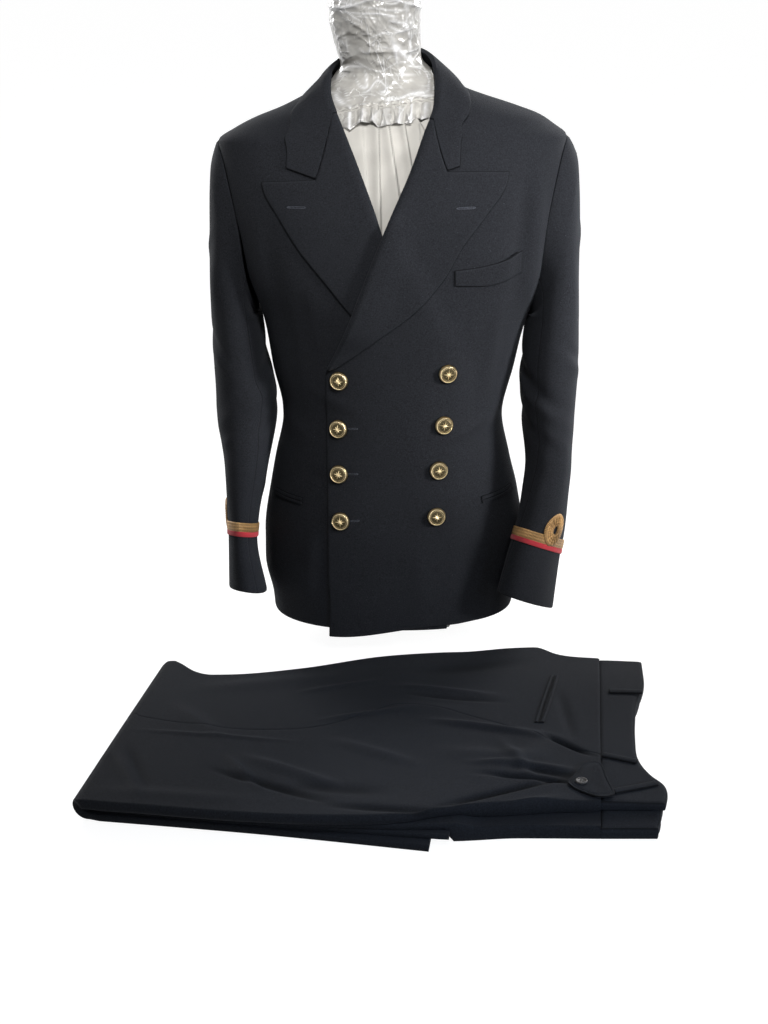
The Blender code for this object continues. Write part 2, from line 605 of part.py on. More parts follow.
def build_panels():
    over_edge = lambda z: front_angle(FRONT_EDGE if z < BREAK else ROLL("over", z), np.float64(z))
    under_edge = lambda z: front_angle(UNDER_EDGE if z < BREAK else ROLL("under", z), np.float64(z))
    add_panel("jacket_front_left", over_edge, lambda z: arm_edge_angle(z, -1), 12, lap=True, front="over")
    add_panel("jacket_front_right", lambda z: -arm_edge_angle(z, -1), under_edge, 12, front="under")
    add_panel("jacket_back_left", lambda z: arm_edge_angle(z, 1), lambda z: 180 - seam_turn(z), 10)
    add_panel("jacket_back_right", lambda z: 180 + seam_turn(z), lambda z: 360 - arm_edge_angle(z, 1), 10)


def seam_turn(z):
    """Half of the centre back seam's gap as a turn round the ring."""
    share = SEAM / 2 / TORSO("half", z)
    return np.degrees(np.arcsin(share ** (TORSO("square", z) / 2)))


def lapel_map(shape, rows, columns):
    """Grid of x and z over a lapel: straight rows that bend into the gorge and the top edge at the last one."""
    share = np.linspace(0, 1, rows)
    heights = shape["heights"][0] + share * (shape["heights"][1] - shape["heights"][0])
    roll, outer = np.stack([ROLL(shape["roll"], heights), heights], -1), along(shape["outer"], share)
    gorge = gorge_line(shape)
    corner = line_length(gorge) / (line_length(gorge) + line_length(shape["top"]))
    split = max(2, int(round(columns * corner)))
    across = np.concatenate([np.linspace(LAPEL_START, corner, split), np.linspace(corner, 1, columns - split + 1)[1:]])
    bent = two_lines(gorge, shape["top"], across)
    straight = roll[-1] + across[:, None] * (outer[-1] - roll[-1])
    grid = roll[:, None] + across[None, :, None] * (outer - roll)[:, None]
    return share, roll, across, grid + share[:, None, None] * (bent - straight)


def gorge_line(shape):
    """The gorge seam, from the top of the roll line down to the notch."""
    top = shape["heights"][1]
    return [(float(ROLL(shape["roll"], top)), top)] + shape["gorge"]


def line_length(points):
    return np.sum(np.linalg.norm(np.diff(np.array(points), axis=0), axis=1))


def two_lines(first, second, across):
    """Points along one line and then along the next, by shares of their whole length."""
    corner = line_length(first) / (line_length(first) + line_length(second))
    return np.where((across <= corner)[:, None], along(first, np.minimum(across / corner, 1)),
                    along(second, np.clip((across - corner) / (1 - corner), 0, 1)))


def curl_section(full):
    """Columns round the fold, as shift toward the lapel's edge and lift above the panel, pressed flat to full."""
    flat = np.stack([FOLD_PRESSED("shift", range(FOLD_COLUMNS)), FOLD_PRESSED("lift", range(FOLD_COLUMNS))], -1)
    soft = np.stack([FOLD_SOFT("shift", range(FOLD_COLUMNS)), FOLD_SOFT("lift", range(FOLD_COLUMNS))], -1)
    return flat + (soft - flat) * np.asarray(full, float)[..., None, None]


def lapel_lift(across):
    return LAPEL_LIFT + LAPEL_SPRING * (1 - across) ** 2


def build_lapel(which):
    """One lapel: a fold on the roll line that springs above the front and settles at the outer edge."""
    shape = LAPELS[which]
    over = which == "left"
    rows = 13 if over else 10
    share, roll, across, grid = lapel_map(shape, rows, 8)
    full = 0.45 + 0.55 * ease(share, 0.0, 0.2) if over else ease(roll[:, 1], 0.562, 0.615)
    section = curl_section(full)
    direction = np.gradient(roll, axis=0)
    aside = unit(np.stack([direction[:, 1], -direction[:, 0]], -1)) * shape["side"]
    curl = roll[:, None] + aside[:, None] * section[..., :1]
    free = full[:, None] if over else ease(ROLL("over", grid[..., 1]) - grid[..., 0], 0.010, 0.040)
    lifts = LAPEL_LIFT + (lapel_lift(across) - LAPEL_LIFT) * free
    points = on_front(np.concatenate([curl[..., 0], grid[..., 0]], axis=1),
                      np.concatenate([curl[..., 1], grid[..., 1]], axis=1),
                      np.concatenate([section[..., 1], lifts], axis=1), over=over)
    add_skin("lapel_" + which, hung(points), CLOTH, "navy_cloth")


def build_collar():
    """Stand and fall in one folded wall, swept round the neck."""
    stations = np.concatenate([np.linspace(0, 5, 8), np.linspace(5, 13, 10)[1:], np.linspace(13, 18, 8)[1:]])
    across = np.concatenate([[LAPEL_START], np.linspace(0.2, 1, 6)])
    grid = np.array([collar_row(station, across) for station in stations])
    add_skin("collar", hung(grid), CLOTH, "navy_cloth")


def collar_row(station, across):
    """One section of the collar: base, fold and fall, as points in space."""
    read = lambda column: float(COLLAR(column, station))
    side = 1 if station < 9 else -1
    which = "left" if station < 9 else "right"
    from_end = station if station < 9 else 18 - station
    wrapped = ease(from_end, 1.0, 4.4)
    edge = torso_point(np.float64(read("edge_z")), read("edge_angle"))
    edge = edge + torso_normal(edge) * COLLAR_LIFT
    crest = np.array([read("crest_x"), read("crest_y"), read("crest_z")])
    # Back type: the stand rises from the neck seam, the fold turns over it and the fall springs to its edge
    ring = torso_point(np.float64(NECK), read("base_angle"))
    out = unit((crest - (-0.0100, 0.0120, crest[2])) * (1, 1, 0))
    base = ring - out * 0.0019 + (0, 0, 0.0016)
    inner = crest - out * ROLL_RADIUS - (0, 0, 0.002)
    over = crest + out * ROLL_RADIUS - (0, 0, 0.002)
    top = crest + (0, 0, 0.0010)
    stand = [base, base + (inner - base) * 0.55 - out * 0.0004, inner, top, over]
    spring = (1 - across[:, None]) * across[:, None]
    fall = over + across[:, None] * (edge - over) + spring * (out * 0.004 + (0, 0, 0.003))
    behind = np.concatenate([stand, fall])
    if wrapped >= 1:
        return behind
    # Front type: the fold and the fall lie on the front, and the last row follows the gorge and the notch
    heights = COLLAR("roll_z", station + np.array([-0.5, 0.0, 0.5]))
    line_up = np.stack([ROLL(LAPELS[which]["roll"], heights), heights], -1)
    roll = line_up[1:2]
    rising = unit(line_up[2] - line_up[0]) * side
    aside = np.array([rising[1], -rising[0]]) * side
    curl = curl_section(1.0)
    curl_map = roll + aside * curl[:, :1]
    edge_map = edge[[0, 2]]
    straight = roll[0] + across[:, None] * (edge_map - roll[0])
    bending = max(0.0, 1 - from_end / 2.6)
    if bending > 0:
        straight = straight + bending * end_bend(which, across)
    x = np.concatenate([curl_map[:, 0], straight[:, 0]])
    z = np.concatenate([curl_map[:, 1], straight[:, 1]])
    lift = np.concatenate([curl[:, 1], lapel_lift(across) + (COLLAR_LIFT - LAPEL_LIFT) * (1 - bending)])
    aside_gap = np.where(np.arange(len(x)) < FOLD_COLUMNS, 0.0, COLLAR_GAP[0]) * side
    ahead = on_front(x + aside_gap * bending, z + COLLAR_GAP[1] * bending, lift)
    return ahead * (1 - wrapped) + behind * wrapped


def end_bend(which, across):
    """How the collar's end row leaves a straight line: down the gorge to the notch, then out to its corner."""
    gorge, notch = np.array(gorge_line(LAPELS[which])), np.array(COLLAR_NOTCH[which])
    return two_lines(gorge, notch, across) - (gorge[0] + across[:, None] * (notch[1] - gorge[0]))


def sleeve_point(which, place, turn):
    """Point of a sleeve: place 0 to 1 goes round the armhole's fan, 1 to 2 goes down to the cuff."""
    shape = SLEEVES[which]
    table, side = shape["table"], shape["side"]
    turn = np.asarray(turn, float)
    cos, sin = np.cos(np.radians(turn)), np.sin(np.radians(turn))
    power = 2 / 2.2
    cos_s, sin_s = np.sign(cos) * np.abs(cos) ** power, np.sign(sin) * np.abs(sin) ** power
    if place <= 1:
        loop_z = ARMHOLE_MIDDLE + (ARMHOLE_RADIUS - ARMHOLE_SEAT) * cos
        loop_y = -(ARMHOLE_DEPTH - ARMHOLE_SEAT) * sin
        loop = torso_point(loop_z, side_angle(loop_y, loop_z))
        outer_z = TIP + (ARMHOLE_LOW - TIP) * place
        outer = np.array([SLEEVE_HEAD(which, outer_z), outer_z])
        first = table.rows[-1]
        inner_x = first[1] - first[3]
        inner = np.array([ARMPIT + (inner_x - ARMPIT) * place, ARMHOLE_LOW])
        half = (outer - inner) / 2
        centre = (outer + inner) / 2
        depth = ARMHOLE_DEPTH + (first[4] - ARMHOLE_DEPTH) * ease(place, 0, 0.8)
        fan = np.stack([centre[0] + half[0] * cos_s, first[2] * place - depth * sin_s, centre[1] + half[1] * cos_s], -1)
        blend = ease(place, 0.0, 0.36 - 0.24 * np.clip(cos, 0, 1))[..., None]
        point = loop * (1 - blend) + fan * blend
        clear = 0.0007 + 0.0050 * ease(place, 0.0, 0.25) * (1 - ease(place, 0.45, 1.0)) * np.clip(-cos, 0, 1)
        point[..., 0] += clear
    else:
        top, cuff = table.rows[-1, 0], table.rows[0, 0]
        z = top + (cuff - top) * (place - 1)
        read = lambda column: float(table(column, z))
        twist = np.radians(read("twist"))
        flat_x, flat_y = read("thin") * cos_s, -read("wide") * sin_s
        dx = flat_x * np.cos(twist) - flat_y * np.sin(twist)
        dy = flat_x * np.sin(twist) + flat_y * np.cos(twist)
        point = np.stack([read("x") + dx, read("y") + dy, z + read("slope_x") * dx + read("slope_y") * dy], -1)
    return point * (side, 1, 1)


def sleeve_grid(which, places, turns):
    """Grid of plain sleeve points, turns in degrees from the outer side toward the front."""
    return np.array([sleeve_point(which, place, turns) for place in places])


def sleeve_wall(which, places, turns):
    """Outer grid of a sleeve, creased, and its outward normals."""
    places, turns = np.asarray(places, float), np.asarray(turns, float)
    plain = sleeve_grid(which, places, turns)
    around = sleeve_grid(which, places, turns + 2) - sleeve_grid(which, places, turns - 2)
    down = (sleeve_grid(which, np.clip(places + 0.01, 0, 2), turns)
            - sleeve_grid(which, np.clip(places - 0.01, 0, 2), turns))
    normals = unit(np.cross(around, down)) * SLEEVES[which]["side"]
    crease = np.zeros(plain.shape[:2])
    for fold in SLEEVE_FOLDS[which]:
        swing = (turns[None, :] - fold["angle"] + 180) % 360 - 180
        line = fold["z"] + fold["slant"] * swing / fold["round"]
        crease += (fold["height"] * np.exp(-(swing / fold["round"]) ** 2)
                   * np.exp(-((plain[..., 2] - line) / fold["tall"]) ** 2))
    fade = ease(places, 0.1, 0.5)[:, None]
    return plain + normals * (crease * fade)[..., None], normals


def sleeve_places(which):
    """Rows of a sleeve; the lowest ones follow the edges of the cuff's lace and red cloth."""
    fan = [0.0, 0.05, 0.12, 0.21, 0.33, 0.50, 0.74]
    marks = [cuff_place(which, above) for above in LACE_EDGES]
    tube = np.linspace(1.0, marks[0] - 0.03, 11)
    return np.concatenate([fan, tube, marks, [(marks[-1] + 2.0) / 2, 2.0]])


def sleeve_turns(half):
    if half == "top":
        return np.linspace(HIND_SLEEVE_SEAM - 360 + SLEEVE_GAP, FRONT_SLEEVE_SEAM - SLEEVE_GAP, 11)
    return np.linspace(FRONT_SLEEVE_SEAM + SLEEVE_GAP, HIND_SLEEVE_SEAM - SLEEVE_GAP, 7)


def build_sleeve(which):
    """Top sleeve and under sleeve, joined along a front and a hind seam."""
    for half in ("top", "under"):
        outer, normals = sleeve_wall(which, sleeve_places(which), sleeve_turns(half))
        add_wall("sleeve_" + half + "_" + which, hung(outer), hung(outer - normals * CLOTH), "navy_cloth")


def cuff_place(which, above):
    """Place along the sleeve that lies this far above the cuff's edge."""
    table = SLEEVES[which]["table"]
    top, cuff = table.rows[-1, 0], table.rows[0, 0]
    return 2 - above / (top - cuff)


def build_cuff_lace(which):
    """A ring of gold lace, the red cloth below it and the curl above it on the outer side."""
    turns = np.concatenate([sleeve_turns("top"), sleeve_turns("under")[1:-1]])
    for name, (high, low), finish in (("gold_lace_", LACE_EDGES[:2], "gold_lace"),
                                      ("red_band_", LACE_EDGES[2:], "red_cloth")):
        skin, normals = sleeve_wall(which, [cuff_place(which, high), cuff_place(which, low)], turns)
        add_wall(name + which, hung(skin + normals * (LACE_SEAT + LACE_CLOTH)), hung(skin + normals * LACE_SEAT),
                 finish, wrap=True)
    centre = LACE_EDGES[1] + CURL_OUTER
    steps = np.arange(0, 360, 20.0)
    outer, inner = [], []
    for radius in (CURL_OUTER, CURL_INNER):
        for rings, lift in ((outer, CURL_SEAT + LACE_CLOTH), (inner, CURL_SEAT)):
            rings.append([curl_point(which, centre, radius, step, lift) for step in steps])
    add_wall("lace_curl_" + which, hung(np.array(outer)), hung(np.array(inner)), "gold_lace", wrap=True)


def curl_point(which, centre, radius, step, lift):
    """Point of the curl, a circle laid on the sleeve's outer side."""
    aside = radius * np.sin(np.radians(step))
    place = cuff_place(which, centre + radius * np.cos(np.radians(step)))
    dense = np.linspace(-80, 80, 61)
    line, normals = sleeve_wall(which, [place], dense)
    run = np.concatenate([[0], np.cumsum(np.linalg.norm(np.diff(line[0], axis=0), axis=1))])
    turn = np.interp(np.interp(CURL_TURN[which], dense, run) + aside, run, dense)
    point, normal = sleeve_wall(which, [place], np.array([turn]))
    return point[0, 0] + normal[0, 0] * lift


def build_breast_welt():
    """Welt of the breast pocket, a strip on the left front that gapes a little at its far end."""
    top = [(0.0786, 0.5290), (0.1142, 0.5332), (0.1450, 0.5410), (0.1640, 0.5500)]
    low = [(0.0789, 0.5099), (0.1148, 0.5088), (0.1480, 0.5150), (0.1655, 0.5225)]
    share = np.linspace(0, 1, 9)
    upper, lower = along(top, share), along(low, share)
    grid = np.array([upper + (lower - upper) * part for part in (0, 0.33, 0.67, 1)])
    gape = 0.0022 * ease(share, 0.4, 0.9)[None, :] * np.array([1, 0.6, 0.2, 0])[:, None]
    outer = on_front(grid[..., 0], grid[..., 1], JET_CLOTH + LAYER + gape, over=True)
    inner = on_front(grid[..., 0], grid[..., 1], LAYER + gape, over=True)
    add_wall("breast_welt", hung(outer), hung(inner), "navy_cloth")


def build_hip_jets():
    """Two narrow jets round each hip pocket's slit, from the front dart to near the side seam."""
    shapes = {"right": dict(side=-1, z=0.2150, rise=0.0030), "left": dict(side=1, z=0.2175, rise=0.0060)}
    for which, shape in shapes.items():
        side = shape["side"]
        start = np.abs(front_angle(side * 0.121, 0.215))
        angles = spaced_angles(0.215, side * start, side * 68, 9)
        share = np.linspace(0, 1, 9)
        slit = shape["z"] + shape["rise"] * share
        for level, sign in (("upper", 1), ("lower", -1)):
            near = slit + sign * SEAM
            far = slit + sign * (SEAM + JET_WIDTH)
            outer, inner = [], []
            for z in (far, near):
                base = torso_point(z, angles)
                normals = torso_normal(base)
                lift = torso_drape(base)
                if which == "left":
                    lift = lift + fronts_lap(base[:, 0], base[:, 2])
                outer.append(base + normals * (lift + LAYER + JET_CLOTH)[:, None])
                inner.append(base + normals * (lift + LAYER)[:, None])
            add_wall("hip_jet_" + which + "_" + level, hung(np.array(outer)), hung(np.array(inner)), "navy_cloth")


def disc_solid(name, centre, normal, profile, sides, finish):
    """Turned solid on an axis, through rings given by radius and height."""
    normal = unit(np.array(normal, float))
    first = unit(np.cross(normal, (0.0, 0.0, 1.0) if abs(normal[2]) < 0.9 else (1.0, 0.0, 0.0)))
    second = np.cross(normal, first)
    turns = np.linspace(0, 2 * np.pi, sides, endpoint=False)
    rings = []
    for radius, height in profile:
        ring = [centre + normal * height + radius * (np.cos(turn) * first + np.sin(turn) * second) for turn in turns]
        rings.append(ring)
    return add_rings(name, rings, finish)


def build_buttons():
    """Eight domed gilt buttons, in two columns that draw together toward the hem."""
    profile = [(BUTTON_RADIUS * 0.72, 0.0), (BUTTON_RADIUS * 0.98, 0.0014), (BUTTON_RADIUS, 0.0024),
               (BUTTON_RADIUS * 0.90, 0.0038), (BUTTON_RADIUS * 0.55, BUTTON_HEIGHT * 0.9),
               (BUTTON_RADIUS * 0.18, BUTTON_HEIGHT)]
    for number, (x, z) in enumerate(BUTTONS, 1):
        seat = hung(on_front(x, z, 0.0007, over=True))
        normal = torso_normal(seat)
        disc_solid("button_%d" % number, seat, normal, profile, 10, "gilt_brass")


def build_form():
    """Limbless dress form: its shoulder line carries the jacket, it stands clear below and ends in a plain neck."""
    angles = np.linspace(0, 360, 24, endpoint=False)
    aside = np.sin(np.radians(angles))
    rings = []
    for z in FORM_LEVELS + SHOULDER_LEVELS:
        base = torso_point(np.full(angles.shape, max(z, TORSO.rows[0, 0])), angles)
        upright = (1, 1, 0) if z < FORM_UPRIGHT else (1, 1, 1)
        inset = FORM_INSET("side", z) * aside ** 2 + FORM_INSET("front", z) * (1 - aside ** 2)
        ring = base - unit(torso_normal(base) * upright) * inset[:, None]
        if z < FORM_UPRIGHT:
            ring[:, 2] = z
        rings.append(ring)
    for z in FORM_TOP_LEVELS:
        x = FORM_NECK("centre", z) + FORM_NECK("half", z) * aside
        y = FORM_NECK("middle", z) - FORM_NECK("deep", z) * np.cos(np.radians(angles))
        rings.append(np.stack([x, y, np.full(angles.shape, z)], -1))
    add_rings("dress_form", hung(np.array(rings)), "form_cover")


def trouser_place(reach, y, height):
    """World point of the folded trousers, whose layers lean along the leg."""
    reach, y, height = np.broadcast_arrays(reach, y, height)
    return np.stack([reach + TROUSER_SHEAR * (y - TROUSER_MIDDLE), y, height], -1)


def leg_top(reach, y):
    """Height of the top leg's upper side."""
    near, far = TOP_LEG("near", reach), TOP_LEG("far", reach)
    share = np.clip((y - near) / (far - near), 0, 1)
    crown = 0.0020 * np.sin(np.pi * share) + 0.0035 * ease(reach, 0.06, 0.17) * ease(share, 0.35, 0.8)
    crown = crown - 0.0040 * ease(reach, 0.17, 0.25) * (1 - ease(share, 0.5, 0.9))
    return TROUSER_TOP + crown + fold_lift(reach, y, TROUSER_FOLDS)


def slab_rows(stations, part, cuts):
    """Rings of a slab: each station gives outer and inner (reach, height) and its near and far edge."""
    rings = []
    for station in stations:
        near, far, seam = station["near"], station["far"], station["seam"]
        low, high = {"front": (near, seam - SEAM / 2), "back": (seam + SEAM / 2, far), "whole": (near, far)}[part]
        round_low, round_high = part in ("front", "whole"), part in ("back", "whole")
        ys = [low + (high - low) * cut for cut in cuts]
        outer = [station["outer"](y) for y in ys]
        inner = [station["inner"](y) for y in ys]
        ring_points = [(point[0], y, point[1]) for y, point in zip(ys, outer)]
        if round_high:
            ring_points += rounded_edge(outer[-1], inner[-1], ys[-1], 1, station["bulge"])
        ring_points += [(point[0], y, point[1]) for y, point in zip(reversed(ys), reversed(inner))]
        if round_low:
            ring_points += rounded_edge(inner[0], outer[0], ys[0], -1, station["bulge"])
        rings.append([trouser_place(*point) for point in ring_points])
    return np.array(rings)


def rounded_edge(first, second, y, way, bulge):
    """Two points that round the edge of a layer between its outer and inner lines."""
    first, second = np.array(first), np.array(second)
    points = []
    for share in (0.3, 0.7):
        mixed = first + (second - first) * share
        points.append((mixed[0], y + way * bulge, mixed[1]))
    return points


def leg_stations(which):
    """Stations of one leg, from the waistband seam round the knee fold to the hem beneath."""
    shin = SHINS[which]
    outer_leg = which == "right"
    edges = TOP_LEG if outer_leg else UNDER_LEG
    bottom = SHIN_CLOTH + LAYER if not outer_leg else 0.0
    layer = SHIN_CLOTH if outer_leg else INNER_CLOTH
    top = TROUSER_TOP if outer_leg else TROUSER_TOP - THIGH_CLOTH - LAYER
    under_top = top - THIGH_CLOTH if outer_leg else bottom + layer + LAYER
    stations = []
    reaches = np.concatenate([np.linspace(BAND_SEAM - SEAM, 0.10, 6), np.linspace(0.07, FOLD_END + 0.02, 9)])
    for reach in reaches:
        near, far = edges("near", reach), edges("far", reach)
        if outer_leg:
            outer = lambda y, r=reach: (r, float(leg_top(r, y)))
            settle = ease(reach, 0.09, 0.12)
            floor = under_top + (0.0164 - under_top) * settle
            inner = lambda y, r=reach, f=floor: (r, float(f))
        else:
            roof = top + (0.0160 - top) * ease(reach, 0.09, 0.12)
            floor = under_top * (1 - ease(reach, 0.09, 0.115))
            outer = lambda y, r=reach, f=roof: (r, float(f))
            inner = lambda y, r=reach, f=floor: (r, float(f))
        stations.append(dict(near=near, far=far, seam=float(SIDE_SEAM("y", reach)), outer=outer, inner=inner,
                             bulge=0.0035 if outer_leg else 0.0022))
    return stations, dict(top=top, under_top=under_top, bottom=bottom, layer=layer, edges=edges, shin=shin)


def fold_stations(which, info):
    """Half circle at the knee, then the shin back to its hem."""
    stations = []
    centre_out = (info["top"] + info["bottom"]) / 2
    radius_out = (info["top"] - info["bottom"]) / 2
    centre_in = (info["under_top"] + info["bottom"] + info["layer"]) / 2
    radius_in = (info["under_top"] - info["bottom"] - info["layer"]) / 2
    start = FOLD_END + radius_out + (0.0 if which == "right" else THIGH_CLOTH)
    shin = info["shin"]
    shin_near = Table("along y", *shin["near"])
    shin_far = Table("along y", *shin["far"])
    for turn in np.linspace(0, 180, 8)[1:]:
        angle = np.radians(turn)
        share = ease(turn, 0, 180)
        near = info["edges"]("near", FOLD_END) * (1 - share) + shin_near("y", FOLD_END) * share
        far = info["edges"]("far", FOLD_END) * (1 - share) + shin_far("y", FOLD_END) * share
        out = (start - radius_out * np.sin(angle), centre_out + radius_out * np.cos(angle))
        into = (start - radius_in * np.sin(angle), centre_in + radius_in * np.cos(angle))
        stations.append(dict(near=float(near), far=float(far), seam=float(SIDE_SEAM("y", FOLD_END)),
                             outer=lambda y, p=out: p, inner=lambda y, p=into: p, bulge=0.0022))
    for reach in np.linspace(start + 0.03, shin["hem"], 5):
        near, far = float(shin_near("y", reach)), float(shin_far("y", reach))
        low, high = info["bottom"], info["bottom"] + info["layer"]
        middle = near + (far - near) * 0.52
        stations.append(dict(near=near, far=far, seam=middle,
                             outer=lambda y, r=reach, f=low: (r, f), inner=lambda y, r=reach, f=high: (r, f),
                             bulge=0.0015))
    return stations


def build_trouser_legs():
    """Right leg as front and back, laid over and round the left leg."""
    cuts = {"front": [0.0, 0.07, 0.28, 0.52, 0.76, 1.0], "back": [0.0, 0.3, 0.6, 0.9, 1.0],
            "whole": [0.0, 0.08, 0.5, 0.92, 1.0]}
    upper, info = leg_stations("right")
    stations = upper + fold_stations("right", info)
    for part in ("front", "back"):
        add_rings("trousers_right_" + part, slab_rows(stations, part, cuts[part]), "navy_cloth")
    upper, info = leg_stations("left")
    stations = upper + fold_stations("left", info)
    add_rings("trousers_left_leg", slab_rows(stations, "whole", cuts["whole"]), "navy_cloth")


def band_height(reach, y):
    """Height of the upper waistband's upper side."""
    return leg_top(np.float64(BAND_SEAM), y) - 0.0008 - 0.0020 * ease(reach, BAND_SEAM, 0.31)


def build_waistbands():
    """Upper and lower bands beyond the seam, ending in the waist's edge, and the left front's fly extension."""
    ys = np.concatenate([np.linspace(-0.576, -0.50, 6), np.linspace(-0.485, -0.2155, 12)])
    shares = [0, 0.35, 0.7, 1.0]
    top, low = [], []
    for share in shares:
        edge = WAIST_EDGE("along", ys)
        reach = BAND_SEAM + SEAM + share * (edge - BAND_SEAM - SEAM)
        height = band_height(reach, ys)
        top.append(trouser_place(reach, ys, height))
        low.append(trouser_place(reach, ys, BAND_SPLIT + LAYER))
    add_wall("waistband_right", np.array(top), np.array(low), "navy_cloth")
    ys = np.linspace(-0.606, -0.226, 15)
    top, low = [], []
    for share in shares:
        edge = WAIST_EDGE("along", np.maximum(ys, -0.60)) - 0.004
        reach = BAND_SEAM + SEAM + share * (edge - BAND_SEAM - SEAM)
        top.append(trouser_place(reach, ys, BAND_SPLIT - 0.0030 * ease(-ys, 0.585, 0.606)))
        low.append(trouser_place(reach, ys, 0 * ys))
    add_wall("waistband_left", np.array(top), np.array(low), "navy_cloth")


def top_height(reach, y):
    """Height of what shows from above: the top leg, or the waistband beyond its seam."""
    return np.where(reach < BAND_SEAM, leg_top(np.minimum(reach, BAND_SEAM), y),
                    band_height(np.maximum(reach, BAND_SEAM), y))


def build_side_tab():
    """Adjusting tab, its button, and the strap's seat on the waistband."""
    outline = np.array(TAB_OUTLINE)
    centre = outline.mean(axis=0)
    level = float(np.max(top_height(outline[:, 0], outline[:, 1]))) + LAYER
    top, low = [], []
    for scale in (1.0, 0.55, 0.08):
        points = centre + (outline - centre) * scale
        height = top_height(points[:, 0], points[:, 1])
        height = np.maximum(height, level - 0.0010)
        top.append(trouser_place(points[:, 0], points[:, 1], height + LAYER + 0.0018))
        low.append(trouser_place(points[:, 0], points[:, 1], height + LAYER))
    add_patch("side_tab", np.array(top), np.array(low), "navy_cloth")
    x, y = TAB_BUTTON
    seat = trouser_place(np.float64(x), np.float64(y), max(float(top_height(x, y)), level - 0.0010) + LAYER + 0.0022)
    profile = [(TAB_BUTTON_RADIUS * 0.85, 0.0), (TAB_BUTTON_RADIUS, 0.0008), (TAB_BUTTON_RADIUS, 0.0020),
               (TAB_BUTTON_RADIUS * 0.86, 0.0027), (TAB_BUTTON_RADIUS * 0.70, 0.0021)]
    disc_solid("tab_button", seat, (0, 0, 1), profile, 14, "dark_horn")


def add_patch(name, outer, inner, finish):
    """Closed flat patch from rings that shrink to the middle, each a closed line."""
    rows, columns = outer.shape[:2]
    count = rows * columns
    faces = []
    for row in range(rows - 1):
        for column in range(columns):
            after = (column + 1) % columns
            loop = [row * columns + column, row * columns + after, (row + 1) * columns + after,
                    (row + 1) * columns + column]
            faces.append(loop)
            faces.append([count + index for index in reversed(loop)])
    last = (rows - 1) * columns
    faces.append([last + column for column in range(columns)])
    faces.append([count + last + column for column in reversed(range(columns))])
    for column in range(columns):
        after = (column + 1) % columns
        faces.append([column, after, count + after, count + column])
    verts = np.concatenate([outer.reshape(-1, 3), inner.reshape(-1, 3)])
    return add_object(name, verts, faces, finish)


def strip_on_trousers(name, line, width, thickness, finish="navy_cloth"):
    """Narrow strip laid on what shows of the trousers, along a line."""
    line = np.array(line)
    count = 5
    middle = along(line, np.linspace(0, 1, count))
    direction = unit(np.gradient(middle, axis=0))
    aside = np.stack([-direction[:, 1], direction[:, 0]], -1) * width / 2
    top, low = [], []
    for sign in (-1, 0, 1):
        points = middle + sign * aside
        height = top_height(points[:, 0], points[:, 1]) + LAYER + 0.0002
        top.append(trouser_place(points[:, 0], points[:, 1], height + thickness))
        low.append(trouser_place(points[:, 0], points[:, 1], height))
    return add_wall(name, np.array(top), np.array(low), finish)


def build_trouser_details():
    for number, line in enumerate(BELT_LOOPS, 1):
        strip_on_trousers("belt_loop_%d" % number, line, 0.0095, 0.0020)
    slit = np.array(POCKET_SLIT)
    for level, sign in (("upper", 1), ("lower", -1)):
        strip_on_trousers("hip_pocket_jet_" + level, slit + (sign * 0.0029, 0), 0.0050, 0.0014)


def main():
    for item in list(bpy.data.objects):
        bpy.data.objects.remove(item)
    build_form()
    build_panels()
    for which in ("left", "right"):
        build_lapel(which)
        build_sleeve(which)
        build_cuff_lace(which)
    build_collar()
    build_breast_welt()
    build_hip_jets()
    build_buttons()
    build_trouser_legs()
    build_waistbands()
    build_side_tab()
    build_trouser_details()


main()
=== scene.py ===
"""Naval service dress uniform: the worn jacket on its dress form and the folded trousers.

Metres, +Z up, the wearer faces -Y. "Left" and "right" are the wearer's, so left is at +X.
The torso, sleeve and trouser forms repeat the part's own named tables, so every cloth lies on its solid.
"""

import bmesh
import bpy
import numpy as np
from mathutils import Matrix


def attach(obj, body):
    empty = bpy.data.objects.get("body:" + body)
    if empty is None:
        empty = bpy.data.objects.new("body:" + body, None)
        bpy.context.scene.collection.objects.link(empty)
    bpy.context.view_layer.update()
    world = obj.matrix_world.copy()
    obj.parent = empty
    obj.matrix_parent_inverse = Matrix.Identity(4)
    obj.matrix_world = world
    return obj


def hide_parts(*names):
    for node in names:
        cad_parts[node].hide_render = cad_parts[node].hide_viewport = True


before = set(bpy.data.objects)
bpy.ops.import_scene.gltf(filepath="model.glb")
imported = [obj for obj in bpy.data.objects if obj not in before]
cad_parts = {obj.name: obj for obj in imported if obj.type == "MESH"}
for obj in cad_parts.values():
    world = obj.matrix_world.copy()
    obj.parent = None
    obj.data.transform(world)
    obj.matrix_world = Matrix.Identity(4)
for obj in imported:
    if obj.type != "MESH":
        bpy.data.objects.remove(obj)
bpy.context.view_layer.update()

bl_info = {
    "name": "Service Dress Uniform",
    "version": (1, 0, 0),
    "blender": (4, 5, 0),
    "location": "View3D > Sidebar > Uniform",
    "description": "Builds a double-breasted service jacket on a dress form and its folded trousers",
    "category": "Object",
}

BODY = "root"

# Cloth and clearances
CLOTH = 0.002
SEAM = 0.0003
LAYER = 0.0004
EDGE_WIDTH = 0.0014
RIM_BULGE = 0.36
LEAST_FLAT = 0.0101
CLOSE_STEPS = (0.0, 0.0005, 0.0012, 0.0022, 0.0038)
HEM_FADE = 0.2

